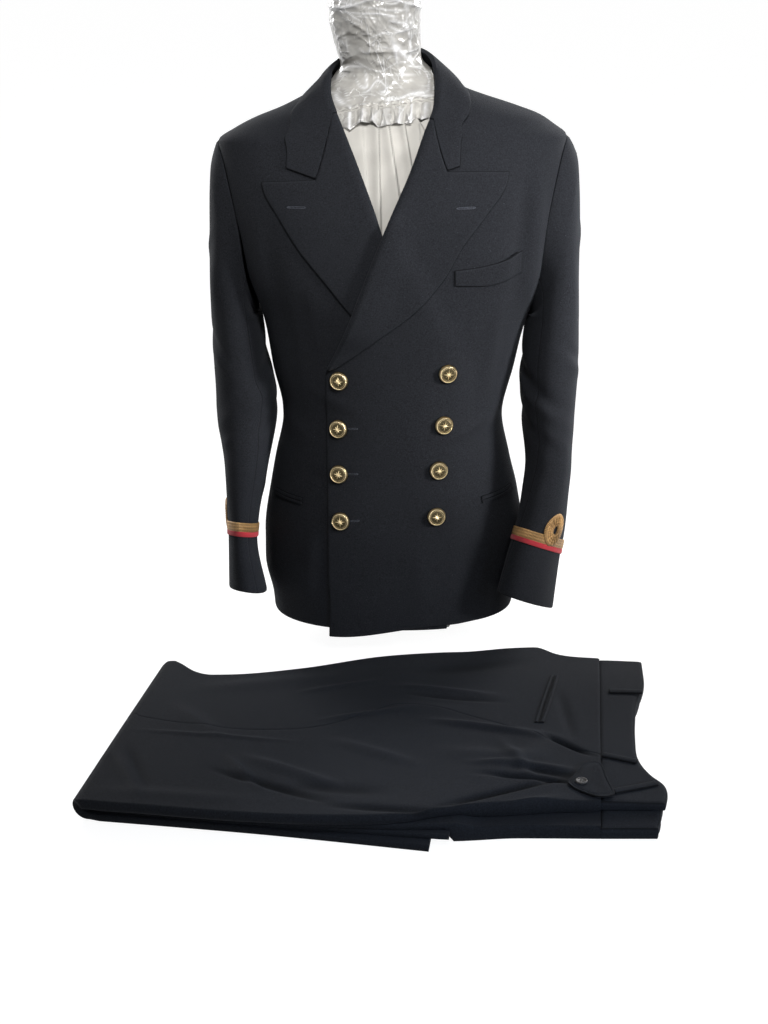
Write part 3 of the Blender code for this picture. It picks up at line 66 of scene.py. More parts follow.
# Jacket landmarks
HEM = 0.045
BREAK = 0.39
NECK = 0.765
TIP = 0.685
ARMHOLE_LOW = 0.455
ARMHOLE_DEPTH = 0.072
ARMHOLE_SEAT = 0.0001
ARMPIT = 0.1785
ARMHOLE_MIDDLE = (TIP + ARMHOLE_LOW) / 2
ARMHOLE_RADIUS = (TIP - ARMHOLE_LOW) / 2
FRONT_EDGE = -0.0855
UNDER_EDGE = 0.075
SHOULDER_TILT = 0.0145
LAPPED = CLOTH + 0.0014
ROLL_RADIUS = 0.0043
LAPEL_LIFT = CLOTH + 0.0013
COLLAR_LIFT = LAPEL_LIFT + 0.0014
LAPEL_SPRING = 0.005

# Buttons, pockets and lace
JET_WIDTH = 0.005
JET_CLOTH = 0.0014
LACE_WIDTH = 0.0115
RED_WIDTH = 0.0062
LACE_CLOTH = 0.0012
LACE_LOW = 0.0795
LACE_SEAT = 0.0006
LACE_EDGES = [LACE_LOW + LACE_WIDTH, LACE_LOW, LACE_LOW - LAYER, LACE_LOW - LAYER - RED_WIDTH]
CURL_SEAT = LACE_SEAT + LACE_CLOTH + 0.0007
CURL_OUTER = 0.0205
CURL_INNER = 0.0066
CURL_TURN = {"left": 38.0, "right": -12.0}
BAND_ROWS = (0, 0.04, 0.12, 0.25, 0.38, 0.5, 0.62, 0.75, 0.88, 0.96, 1)
WELT_TOP = [(0.0786, 0.529), (0.1142, 0.5332), (0.145, 0.541), (0.164, 0.55)]
WELT_LOW = [(0.0789, 0.5099), (0.1148, 0.5088), (0.148, 0.515), (0.1655, 0.5225)]
HIP_JETS = {"right": dict(side=-1, z=0.215, rise=0.003), "left": dict(side=1, z=0.2175, rise=0.006)}
HIP_LEVEL = 0.215

# Folded trousers
TROUSER_SHEAR = 0.13
TROUSER_MIDDLE = -0.4
FOLD_END = -0.328
BAND_SEAM = 0.2465
TROUSER_TOP = 0.034
THIGH_CLOTH = 0.012
SHIN_CLOTH = 0.008
INNER_CLOTH = 0.006
BAND_SPLIT = 0.0168


class Table:
    """Rows of named columns, read smoothly between rows by the value of the first column."""

    def __init__(self, columns, *rows):
        self.columns = columns.split()
        self.rows = np.array(sorted(rows), float)

    def __call__(self, column, at):
        return smooth_read(self.rows[:, 0], self.rows[:, self.columns.index(column)], at)


def named(columns, *rows):
    """Rows of a short table, each one a dict by its column's name."""
    return [dict(zip(columns.split(), row)) for row in rows]


def smooth_read(known, values, at):
    """Hermite reading of values, with slopes that never overshoot a row."""
    at = np.clip(np.asarray(at, float), known[0], known[-1])
    step = np.diff(known)
    slope = np.diff(values) / step
    tangent = np.concatenate([slope[:1], np.zeros(len(known) - 2), slope[-1:]])
    same_way = slope[:-1] * slope[1:] > 0
    mixed = (slope[:-1] * step[1:] + slope[1:] * step[:-1]) / (step[1:] + step[:-1])
    tangent[1:-1] = np.where(same_way, mixed, 0)
    cell = np.clip(np.searchsorted(known, at) - 1, 0, len(step) - 1)
    part = (at - known[cell]) / step[cell]
    rise = step[cell] * (tangent[cell] * part * (1 - part) ** 2 + tangent[cell + 1] * part ** 2 * (part - 1))
    ahead = values[cell + 1] * part ** 2 * (3 - 2 * part)
    return values[cell] * (1 + 2 * part) * (1 - part) ** 2 + ahead + rise


def ease(value, low, high):
    """Smooth step from 0 at low to 1 at high."""
    part = np.clip((np.asarray(value, float) - low) / (high - low), 0, 1)
    return part * part * (3 - 2 * part)


def unit(vector):
    return vector / np.linalg.norm(vector, axis=-1, keepdims=True)


def bent(value, power):
    """A power that keeps the value's sign."""
    return np.sign(value) * np.abs(value) ** power


def circle(count):
    """Turns once round, in radians, with no turn twice."""
    return np.linspace(0, 2 * np.pi, count, endpoint=False)


def along(points, at):
    """Points at fractions of the length of a smooth line through a few points."""
    points = np.array(points, float)
    run = np.concatenate([[0], np.cumsum(np.linalg.norm(np.diff(points, axis=0), axis=1))])
    return np.stack([smooth_read(run / run[-1], points[:, axis], at) for axis in range(points.shape[1])], -1)


# Torso: level rings of the jacket's outer surface, superellipses with a front and a back depth
TORSO = Table(
    "z half centre front back square",
    (0.02, 0.168, 0.002, 0.121, 0.12, 2.4),
    (0.06, 0.171, 0.002, 0.121, 0.1185, 2.4),
    (0.11, 0.181, 0.002, 0.12, 0.114, 2.4),
    (0.15, 0.181, 0.0025, 0.1195, 0.109, 2.4),
    (0.21, 0.173, 0.0025, 0.118, 0.101, 2.4),
    (0.26, 0.162, 0.001, 0.1165, 0.092, 2.3),
    (0.32, 0.1505, 0.001, 0.1155, 0.087, 2.3),
    (0.385, 0.164, 0.002, 0.119, 0.095, 2.3),
    (0.46, 0.1775, 0.0045, 0.1245, 0.108, 2.6),
    (0.52, 0.2, 0.002, 0.125, 0.114, 3.0),
    (0.56, 0.21, 0.001, 0.1235, 0.115, 3.0),
    (0.6, 0.218, 0.0, 0.119, 0.115, 3.0),
    (0.65, 0.225, 0.0, 0.104, 0.11, 2.9),
    (0.685, 0.227, 0.0, 0.087, 0.101, 2.6),
    (0.7, 0.208, 0.002, 0.079, 0.096, 2.4),
    (0.715, 0.18, 0.005, 0.071, 0.09, 2.2),
    (0.723, 0.158, 0.005, 0.0665, 0.0865, 2.1),
    (0.7395, 0.115, -0.0016, 0.057, 0.0785, 2.0),
    (0.746, 0.0997, -0.004, 0.053, 0.0755, 2.0),
    (0.754, 0.087, -0.0055, 0.0475, 0.071, 2.0),
    (0.765, 0.074, -0.007, 0.04, 0.065, 2.0))

# Inner edges of the two fronts: the lapels' roll lines, by height
ROLL = Table(
    "z over under",
    (0.39, FRONT_EDGE, 0.07),
    (0.4, -0.08, 0.0665),
    (0.4561, -0.0535, 0.0415),
    (0.4996, -0.0375, 0.0185),
    (0.5527, -0.0166, -0.0095),
    (0.601, 0.0048, -0.027),
    (0.6472, 0.026, -0.0447),
    (0.6931, 0.0437, -0.0637),
    (0.7235, 0.0556, -0.0765),
    (0.738, 0.0585, -0.0815),
    (0.765, 0.069, -0.0836))

# Each lapel: its roll line's column and heights, then points in the front's x and z for the outer edge
# going up, the gorge going down and the top edge going out to the peak
LAPELS = {
    "left": dict(
        side=1, roll="over", heights=(0.4, 0.708),
        outer=[(-0.074, 0.4015), (-0.0496, 0.4194), (-0.0207, 0.4409), (0.0259, 0.4751), (0.0646, 0.5177),
               (0.0884, 0.5582), (0.117, 0.5952), (0.143, 0.633), (0.1462, 0.647)],
        gorge=[(0.053, 0.695), (0.057, 0.679), (0.064, 0.657), (0.0676, 0.6478)],
        top=[(0.0676, 0.6478), (0.106, 0.648), (0.1462, 0.647)]),
    "right": dict(
        side=-1, roll="under", heights=(0.548, 0.716),
        outer=[(-0.04, 0.459), (-0.051, 0.4712), (-0.0882, 0.5171), (-0.1163, 0.5523), (-0.1445, 0.5975),
               (-0.1618, 0.627), (-0.165, 0.6385)],
        gorge=[(-0.079, 0.697), (-0.084, 0.677), (-0.092, 0.65), (-0.0955, 0.6405)],
        top=[(-0.0955, 0.6405), (-0.128, 0.6395), (-0.165, 0.6385)]),
}

# Section of the fold at a roll line, pressed flat and soft
FOLD_COLUMNS = 5
FOLD_PRESSED = Table(
    "column shift lift",
    (0, -0.002, -0.002), (1, -0.0034, -0.0013), (2, -0.0041, 0.0004),
    (3, -0.0034, 0.0022), (4, -0.0018, 0.0033))
FOLD_SOFT = Table(
    "column shift lift",
    (0, -0.0012, -0.0021), (1, -0.0034, -0.0012), (2, -0.0047, 0.002),
    (3, -0.0034, 0.0054), (4, 0.0006, 0.0074))
LAPEL_START = 0.07
COLLAR_GAP = (0.0005, 0.0008)

# Collar stations, from the left gorge round the back of the neck to the right gorge. The roll is where the
# fold leaves the front, the crest is the fold's top, and base and outer edge are on the torso's rings.
COLLAR = Table(
    "station roll_z crest_x crest_y crest_z base_angle edge_angle edge_z",
    (0, 0.708, 0.051, -0.068, 0.727, 60, 13.7, 0.652),
    (1, 0.72, 0.0525, -0.059, 0.739, 66, 14.7, 0.668),
    (2, 0.732, 0.054, -0.048, 0.751, 72, 16.9, 0.687),
    (3, 0.744, 0.0555, -0.034, 0.763, 78, 23.5, 0.708),
    (4, 0.756, 0.055, -0.018, 0.774, 84, 46.0, 0.7325),
    (5, 0.765, 0.053, -0.002, 0.783, 90, 90.0, 0.753),
    (6, 0.765, 0.047, 0.02, 0.79, 107, 112.0, 0.753),
    (7, 0.765, 0.0335, 0.0445, 0.796, 130, 135.0, 0.752),
    (8, 0.765, 0.013, 0.061, 0.8, 155, 157.0, 0.7505),
    (9, 0.765, -0.0115, 0.0668, 0.801, 180, 180.0, 0.75),
    (10, 0.765, -0.0365, 0.061, 0.7975, 205, 203.0, 0.7505),
    (11, 0.765, -0.059, 0.045, 0.79, 230, 225.0, 0.752),
    (12, 0.765, -0.074, 0.023, 0.7805, 253, 248.0, 0.7535),
    (13, 0.765, -0.0805, -0.001, 0.774, 270, 270.0, 0.7535),
    (14, 0.76, -0.0815, -0.015, 0.769, 276, 286.0, 0.742),
    (15, 0.752, -0.0825, -0.027, 0.7625, 282, 305.0, 0.725),
    (16, 0.742, -0.0828, -0.037, 0.7555, 288, 324.0, 0.702),
    (17, 0.73, -0.0828, -0.045, 0.749, 294, 331.0, 0.677),
    (18, 0.716, -0.0825, -0.051, 0.743, 300, 332.4, 0.6525))
COLLAR_NOTCH = {"left": [(0.0676, 0.6478), (0.083, 0.652)],
                "right": [(-0.0955, 0.6405), (-0.132, 0.6525)]}

# Sleeves below the armpit: centre, half thickness, half width front to back, twist and section's slope
SLEEVES = {
    "left": dict(side=1, table=Table(
        "z x y thin wide twist slope_x slope_y",
        (0.455, 0.2165, -0.004, 0.0345, 0.076, 0, 0.0, 0.0),
        (0.385, 0.2135, -0.013, 0.0385, 0.073, 0, 0.0, -0.1),
        (0.318, 0.212, -0.03, 0.0355, 0.067, 0, -0.02, -0.18),
        (0.26, 0.213, -0.05, 0.0312, 0.0635, -3, -0.08, -0.26),
        (0.22, 0.2092, -0.062, 0.0315, 0.062, -8, -0.18, -0.29),
        (0.17, 0.2026, -0.074, 0.031, 0.062, -16, -0.3, -0.3),
        (0.14, 0.196, -0.08, 0.03, 0.062, -21, -0.34, -0.3),
        (0.073, 0.1832, -0.092, 0.0308, 0.062, -29, -0.36, -0.28))),
    "right": dict(side=-1, table=Table(
        "z x y thin wide twist slope_x slope_y",
        (0.455, 0.2095, -0.004, 0.0335, 0.076, 0, 0.0, 0.0),
        (0.4, 0.205, -0.011, 0.0365, 0.074, 0, 0.0, -0.08),
        (0.339, 0.197, -0.028, 0.0415, 0.067, 0, 0.02, -0.16),
        (0.253, 0.1986, -0.052, 0.029, 0.065, -2, 0.05, -0.26),
        (0.188, 0.2031, -0.068, 0.0208, 0.066, -2, 0.1, -0.3),
        (0.158, 0.204, -0.074, 0.019, 0.066, -2, 0.12, -0.3),
        (0.088, 0.1978, -0.086, 0.0258, 0.064, -3, 0.14, -0.28))),
}
SLEEVE_HEAD = Table(
    "z left right",
    (0.455, 0.251, 0.243),
    (0.505, 0.249, 0.243),
    (0.58, 0.2478, 0.2415),
    (0.625, 0.2455, 0.24),
    (0.652, 0.243, 0.238),
    (0.668, 0.2405, 0.236),
    (0.68, 0.2378, 0.2358),
    (0.685, 0.2315, 0.2305))
SLEEVE_SQUARE = 2.2
FRONT_SLEEVE_SEAM = 122.0
HIND_SLEEVE_SEAM = 248.0
SLEEVE_GAP = 0.16

# Soft folds of the worn cloth: a line in x and z, its width and its height out of the cloth
FRONT_FOLDS = named(
    "x z to_x to_z width height",
    (0.186, 0.655, 0.176, 0.44, 0.011, 0.005),
    (0.168, 0.65, 0.157, 0.47, 0.012, -0.004),
    (-0.178, 0.61, -0.152, 0.385, 0.012, 0.0042),
    (-0.16, 0.56, -0.135, 0.4, 0.012, -0.0034),
    (0.15, 0.36, 0.085, 0.3, 0.012, 0.0026),
    (-0.15, 0.33, -0.095, 0.29, 0.012, 0.0026),
    (0.115, 0.19, 0.128, 0.05, 0.016, 0.0032),
    (-0.105, 0.18, -0.122, 0.06, 0.016, 0.003),
    (0.062, 0.302, 0.15, 0.334, 0.007, 0.002),
    (-0.062, 0.236, -0.138, 0.264, 0.006, -0.0014),
    (0.138, 0.49, 0.12, 0.35, 0.009, 0.0024),
    (-0.12, 0.505, -0.102, 0.385, 0.008, -0.0018),
    (-0.04, 0.345, -0.118, 0.372, 0.007, 0.0018),
    (0.03, 0.165, 0.042, 0.055, 0.014, 0.0016))
BACK_FOLDS = named(
    "x z to_x to_z width height",
    (0.165, 0.64, 0.15, 0.42, 0.014, 0.0056),
    (-0.167, 0.63, -0.146, 0.4, 0.014, 0.005),
    (0.12, 0.6, 0.105, 0.43, 0.016, -0.0038),
    (-0.115, 0.59, -0.1, 0.45, 0.016, -0.0034),
    (0.13, 0.325, 0.06, 0.29, 0.013, 0.0034),
    (-0.125, 0.335, -0.05, 0.305, 0.013, 0.003),
    (0.075, 0.2, 0.085, 0.055, 0.018, 0.0036),
    (-0.08, 0.21, -0.095, 0.05, 0.018, 0.0034),
    (0.02, 0.585, 0.098, 0.56, 0.01, 0.002),
    (-0.03, 0.56, -0.09, 0.525, 0.008, 0.0016),
    (-0.012, 0.312, -0.07, 0.334, 0.008, -0.0018),
    (0.034, 0.205, 0.052, 0.06, 0.015, 0.0024),
    (-0.062, 0.22, -0.078, 0.058, 0.014, 0.0026),
    (0.018, 0.352, 0.088, 0.372, 0.006, 0.0014))

# Sleeve creases: height of the middle, angle round the sleeve, half extents and slant, and depth
SLEEVE_FOLDS = {
    "left": named(
        "z angle tall round slant height",
        (0.375, 150, 0.012, 70, 0.03, -0.0044),
        (0.345, 120, 0.011, 60, 0.024, 0.0036),
        (0.315, 160, 0.012, 62, 0.02, -0.0036),
        (0.5, 60, 0.04, 24, 0.01, 0.004),
        (0.505, 300, 0.045, 26, -0.012, 0.0042),
        (0.26, 60, 0.05, 22, 0.012, 0.0024),
        (0.412, 52, 0.008, 34, 0.016, -0.002),
        (0.392, 44, 0.009, 30, 0.012, 0.0018),
        (0.3, 78, 0.008, 30, 0.014, 0.0018),
        (0.565, 12, 0.01, 34, -0.022, 0.0014),
        (0.2, 230, 0.012, 40, 0.012, 0.0018)),
    "right": named(
        "z angle tall round slant height",
        (0.385, 140, 0.013, 66, 0.026, -0.004),
        (0.35, 110, 0.012, 70, 0.03, 0.0036),
        (0.322, 150, 0.011, 58, 0.022, -0.0038),
        (0.51, 56, 0.042, 26, 0.012, 0.0042),
        (0.49, 302, 0.045, 24, -0.01, 0.0038),
        (0.25, 50, 0.045, 24, 0.01, 0.0026),
        (0.425, 40, 0.008, 32, -0.014, -0.002),
        (0.402, 48, 0.009, 28, -0.012, 0.0018),
        (0.305, 70, 0.007, 32, 0.012, 0.0016),
        (0.55, 16, 0.01, 30, 0.02, 0.0014),
        (0.215, 220, 0.012, 38, -0.01, 0.0018)),
}

BUTTONS = [(-0.0682, 0.3859), (-0.0695, 0.3198), (-0.0695, 0.2584), (-0.068, 0.1942),
           (0.0706, 0.3959), (0.0664, 0.3254), (0.0605, 0.2643), (0.0584, 0.2015)]

# The dress form: how far it lies inside the jacket's outer surface, and its neck above the jacket
FORM_INSET = Table(
    "z side front",
    (0.0, 0.072, 0.086),
    (0.03, 0.054, 0.05),
    (0.06, 0.04, 0.032),
    (0.12, 0.03, 0.021),
    (0.3, 0.024, 0.018),
    (0.455, 0.026, 0.014),
    (0.6, 0.034, 0.01),
    (0.66, 0.03, 0.008),
    (0.68, 0.016, 0.005),
    (0.69, 0.01, 0.005),
    (0.7, 0.006, 0.005),
    (0.765, 0.005, 0.0045))
FORM_NECK = Table(
    "z half centre middle deep",
    (0.765, 0.069, -0.007, 0.0125, 0.0475),
    (0.775, 0.0565, -0.0115, 0.0105, 0.0455),
    (0.785, 0.053, -0.016, 0.009, 0.0455),
    (0.8, 0.0545, -0.019, 0.008, 0.049),
    (0.83, 0.058, -0.0226, 0.006, 0.053),
    (0.866, 0.0585, -0.0226, 0.006, 0.0535),
    (0.874, 0.0565, -0.0226, 0.006, 0.0515),
    (0.878, 0.051, -0.0226, 0.006, 0.046))

# The folded trousers, seen from above: near and far edges of each layer by distance along the leg
TOP_LEG = Table(
    "along near far",
    (-0.328, -0.572, -0.205),
    (-0.317, -0.579, -0.207),
    (-0.3, -0.583, -0.22),
    (-0.275, -0.587, -0.246),
    (-0.25, -0.59, -0.257),
    (-0.22, -0.595, -0.256),
    (-0.138, -0.607, -0.237),
    (-0.04, -0.6135, -0.199),
    (0.035, -0.609, -0.186),
    (0.076, -0.596, -0.183),
    (0.118, -0.588, -0.177),
    (0.16, -0.584, -0.176),
    (0.19, -0.58, -0.199),
    (0.25, -0.576, -0.214))
UNDER_LEG = Table(
    "along near far",
    (-0.328, -0.564, -0.225),
    (-0.2, -0.583, -0.255),
    (-0.1, -0.599, -0.245),
    (0.0, -0.61, -0.21),
    (0.086, -0.611, -0.195),
    (0.16, -0.605, -0.19),
    (0.25, -0.606, -0.224))
SHINS = {"right": dict(hem=0.066, near=[(-0.328, -0.564), (-0.1, -0.6), (0.066, -0.632)],
                       far=[(-0.328, -0.215), (-0.1, -0.33), (0.066, -0.396)]),
         "left": dict(hem=0.0862, near=[(-0.328, -0.558), (-0.1, -0.596), (0.082, -0.622)],
                      far=[(-0.328, -0.235), (-0.1, -0.345), (0.082, -0.39)])}
SIDE_SEAM = Table(
    "along y",
    (-0.328, -0.374),
    (-0.254, -0.399),
    (-0.155, -0.418),
    (-0.082, -0.407),
    (-0.044, -0.383),
    (0.002, -0.35),
    (0.052, -0.361),
    (0.084, -0.378),
    (0.131, -0.405),
    (0.165, -0.426),
    (0.19, -0.444),
    (0.2465, -0.472))
WAIST_EDGE = Table(
    "y along",
    (-0.606, 0.308),
    (-0.59, 0.3135),
    (-0.53, 0.313),
    (-0.515, 0.303),
    (-0.49, 0.292),
    (-0.446, 0.286),
    (-0.38, 0.287),
    (-0.33, 0.291),
    (-0.3, 0.298),
    (-0.27, 0.3015),
    (-0.214, 0.3005))
TROUSER_FOLDS = named(
    "x z to_x to_z width height",
    (0.225, -0.53, 0.13, -0.5, 0.008, -0.004),
    (0.18, -0.49, 0.06, -0.47, 0.014, 0.003),
    (-0.09, -0.552, 0.015, -0.569, 0.01, -0.003),
    (-0.3, -0.56, -0.12, -0.585, 0.011, 0.002),
    (0.19, -0.45, 0.11, -0.53, 0.016, 0.0028),
    (-0.02, -0.35, 0.09, -0.37, 0.014, 0.0022),
    (-0.26, -0.3, -0.06, -0.26, 0.018, 0.0026),
    (0.02, -0.25, 0.15, -0.225, 0.016, -0.0026),
    (-0.184, -0.5167, -0.044, -0.5894, 0.0051, -0.0051),
    (-0.1574, -0.4853, -0.0328, -0.5584, 0.0076, 0.0044),
    (-0.0429, -0.5959, 0.0911, -0.6088, 0.0051, -0.0037),
    (-0.1767, -0.4853, -0.1212, -0.5673, 0.0051, 0.0037),
    (-0.3066, -0.4754, -0.2499, -0.5785, 0.0051, 0.0031),
    (-0.2973, -0.4604, -0.2435, -0.5629, 0.0043, -0.002),
    (-0.0049, -0.6381, 0.0758, -0.6152, 0.0059, 0.0044),
    (0.074, -0.5959, 0.207, -0.5308, 0.0043, -0.0051),
    (0.0869, -0.6215, 0.2012, -0.574, 0.0068, 0.0051),
    (0.1093, -0.5238, 0.2335, -0.5424, 0.0043, -0.0044),
    (0.0985, -0.4975, 0.2168, -0.5119, 0.0059, 0.0041),
    (0.0428, -0.3922, 0.1987, -0.4373, 0.0068, 0.0051),
    (0.1811, -0.4321, 0.2358, -0.4754, 0.0038, -0.0058),
    (-0.005, -0.2919, 0.1226, -0.3275, 0.0068, 0.0037),
    (0.0106, -0.3187, 0.1297, -0.3448, 0.0043, -0.0027),
    (-0.0883, -0.3922, 0.0176, -0.359, 0.0051, 0.0031),
    (-0.1267, -0.3128, -0.0321, -0.2767, 0.0059, 0.0024),
    (-0.2953, -0.419, -0.1015, -0.4502, 0.0038, 0.002),
    (-0.0681, -0.4425, 0.043, -0.5047, 0.0085, 0.0031),
    (-0.2729, -0.3477, -0.1813, -0.4553, 0.0102, 0.0024),
    (0.1965, -0.3187, 0.2162, -0.4425, 0.0051, -0.0024),
    (0.1291, -0.4425, 0.1731, -0.5401, 0.0068, 0.0027))
TAB_OUTLINE = [(0.246, -0.49), (0.2265, -0.496), (0.217, -0.525), (0.212, -0.533), (0.209, -0.544),
               (0.2165, -0.556), (0.24, -0.574), (0.252, -0.575), (0.262, -0.569), (0.253, -0.536)]
TAB_BUTTON = (0.2245, -0.543)
TAB_BUTTON_RADIUS = 0.0068
BELT_LOOPS = [((0.2582, -0.3142), (0.2983, -0.3124)), ((0.249, -0.4745), (0.287, -0.4885)),
              ((0.26, -0.558), (0.307, -0.537))]
POCKET_SLIT = [(0.189, -0.272), (0.18, -0.35), (0.1735, -0.401)]


def torso_point(z, angle):
    """Point of the torso's outer surface at a height and an angle, in degrees from the front toward +X."""
    turn = np.radians(angle)
    power = 2 / TORSO("square", z)
    across, ahead = np.sin(turn), np.cos(turn)
    depth = np.where(ahead > 0, TORSO("front", z), TORSO("back", z))
    x = TORSO("centre", z) + TORSO("half", z) * bent(across, power)
    return np.stack([x, -depth * bent(ahead, power), np.broadcast_to(z, x.shape)], -1)


def torso_level(x, y, z):
    """Level function of the torso: 1 on its surface, less inside."""
    power = TORSO("square", z)
    depth = np.where(y < 0, TORSO("front", z), TORSO("back", z))
    across = np.abs((x - TORSO("centre", z)) / TORSO("half", z))
    return (across ** power + np.abs(y / depth) ** power) ** (1 / power)


def torso_normal(points):
    """Outward normal of the torso's surface, from the slope of its level function."""
    x, y, z = np.moveaxis(np.asarray(points, float), -1, 0)
    step = 2e-4
    slopes = [torso_level(x + step, y, z) - torso_level(x - step, y, z),
              torso_level(x, y + step, z) - torso_level(x, y - step, z),
              torso_level(x, y, np.minimum(z + step, NECK)) - torso_level(x, y, z - step)]
    return unit(np.stack(slopes, -1))


def front_angle(x, z):
    """Angle of the front point that has this x."""
    share = np.clip((x - TORSO("centre", z)) / TORSO("half", z), -1, 1)
    return np.degrees(np.arcsin(bent(share, TORSO("square", z) / 2)))


def side_angle(y, z):
    """Angle between 0 and 180 of the point that has this y."""
    share = np.clip(-y / np.where(y < 0, TORSO("front", z), TORSO("back", z)), -1, 1)
    return np.degrees(np.arccos(bent(share, TORSO("square", z) / 2)))


def fold_lift(first, second, folds):
    """Sum of soft ridges and troughs along short lines, at points of a flat map."""
    total = np.zeros(np.broadcast(first, second).shape)
    for fold in folds:
        x, z, to_x, to_z, width, height = fold.values()
        line = np.array((to_x, to_z)) - (x, z)
        length = np.linalg.norm(line)
        share = ((first - x) * line[0] + (second - z) * line[1]) / length ** 2
        aside = np.abs((first - x) * line[1] - (second - z) * line[0]) / length
        taper = ease(share, -0.15, 0.35) * (1 - ease(share, 0.55, 1.15))
        total = total + height * taper * np.exp(-(aside / width) ** 2)
    return total


def torso_drape(points):
    """How far the worn cloth stands out of the plain torso surface."""
    x, y, z = np.moveaxis(np.asarray(points, float), -1, 0)
    front, back = fold_lift(x, z, FRONT_FOLDS), fold_lift(x, z, BACK_FOLDS)
    return np.where(y < 0, front * ease(-y, 0.0, 0.03), back * ease(y, 0.0, 0.03))


def fronts_lap(x, z):
    """How far the over front is raised by the under front and its lapel."""
    beyond = x - ROLL("under", z)
    lapped = LAPPED * (1 - ease(beyond, 0.01, 0.045))
    tucked = LAPPED * ease(z, 0.425, 0.45) * (1 - ease(z, 0.575, 0.61))
    beside = 1 - ease(x - ROLL("over", z), 0.014, 0.05)
    return lapped + tucked * beside


def on_front(x, z, lift, over=False):
    """Point of the front at x and z, lifted out of the cloth beneath."""
    x, z, lift = np.broadcast_arrays(np.asarray(x, float), np.asarray(z, float), np.asarray(lift, float))
    base = torso_point(z, front_angle(x, z))
    total = lift + torso_drape(base)
    if over:
        total = total + fronts_lap(x, z)
    return base + torso_normal(base) * total[..., None]


def hung(points):
    """The jacket hangs a little higher on its left shoulder."""
    points = np.array(points, float)
    points[..., 2] += SHOULDER_TILT * points[..., 0] * ease(points[..., 2], 0.45, 0.65)
    return points


def grid_normals(points):
    """Normals of a grid of points, rows by columns, from its own slopes."""
    return unit(np.cross(np.gradient(points, axis=0), np.gradient(points, axis=1)))


def spaced_angles(z, start, end, columns):
    """Angles between two edges that cut the ring at z into equal lengths."""
    dense = np.linspace(start, end, 241)
    points = torso_point(np.full(dense.shape, z), dense)
    run = np.concatenate([[0], np.cumsum(np.linalg.norm(np.diff(points, axis=0), axis=1))])
    return np.interp(np.linspace(0, run[-1], columns), run, dense)


def armhole_edge(z):
    """Distance of the armhole's edge from the shoulder line, by height."""
    share = np.clip((z - ARMHOLE_MIDDLE) / ARMHOLE_RADIUS, -1, 1)
    return ARMHOLE_DEPTH * np.sqrt(1 - share ** 2)


def hem_drop(x, over):
    """How far the fronts hang below the back: the over front's corner is the lowest."""
    if over:
        return -0.0185 * (1 - ease(x, -0.09, 0.07))
    return np.full(x.shape, -0.0065)


def arm_edge_angle(z, face):
    """Angle of a panel's edge at the side seam, the armhole or the shoulder seam; face -1 is the front."""
    away = armhole_edge(z) if ARMHOLE_LOW < z < TIP else 0.0
    return side_angle(face * (away + SEAM / 2), np.float64(z))


def seam_turn(z):
    """Half of the centre back seam's gap as a turn round the ring."""
    share = SEAM / 2 / TORSO("half", z)
    return np.degrees(np.arcsin(share ** (TORSO("square", z) / 2)))


def lapel_map(shape, rows, columns):
    """Grid of x and z over a lapel: straight rows that bend into the gorge and the top edge at the last."""
    share = np.linspace(0, 1, rows)
    heights = shape["heights"][0] + share * (shape["heights"][1] - shape["heights"][0])
    roll, outer = np.stack([ROLL(shape["roll"], heights), heights], -1), along(shape["outer"], share)
    gorge = gorge_line(shape)
    corner = line_length(gorge) / (line_length(gorge) + line_length(shape["top"]))
    split = max(2, int(round(columns * corner)))
    across = np.concatenate([np.linspace(LAPEL_START, corner, split),
                             np.linspace(corner, 1, columns - split + 1)[1:]])
    bent = two_lines(gorge, shape["top"], across)
    straight = roll[-1] + across[:, None] * (outer[-1] - roll[-1])
    grid = roll[:, None] + across[None, :, None] * (outer - roll)[:, None]
    return share, roll, across, grid + share[:, None, None] * (bent - straight)


def gorge_line(shape):
    """The gorge seam, from the top of the roll line down to the notch."""
    top = shape["heights"][1]
    return [(float(ROLL(shape["roll"], top)), top)] + shape["gorge"]


def line_length(points):
    return np.sum(np.linalg.norm(np.diff(np.array(points), axis=0), axis=1))


def two_lines(first, second, across):
    """Points along one line and then along the next, by shares of their whole length."""
    corner = line_length(first) / (line_length(first) + line_length(second))
    return np.where((across <= corner)[:, None], along(first, np.minimum(across / corner, 1)),
                    along(second, np.clip((across - corner) / (1 - corner), 0, 1)))


def curl_section(full):
    """Columns round the fold, as shift toward the lapel's edge and lift above the panel, flat to full."""
    flat, soft = (np.stack([table(column, range(FOLD_COLUMNS)) for column in ("shift", "lift")], -1)
                  for table in (FOLD_PRESSED, FOLD_SOFT))
    return flat + (soft - flat) * np.asarray(full, float)[..., None, None]


def lapel_lift(across):
    return LAPEL_LIFT + LAPEL_SPRING * (1 - across) ** 2


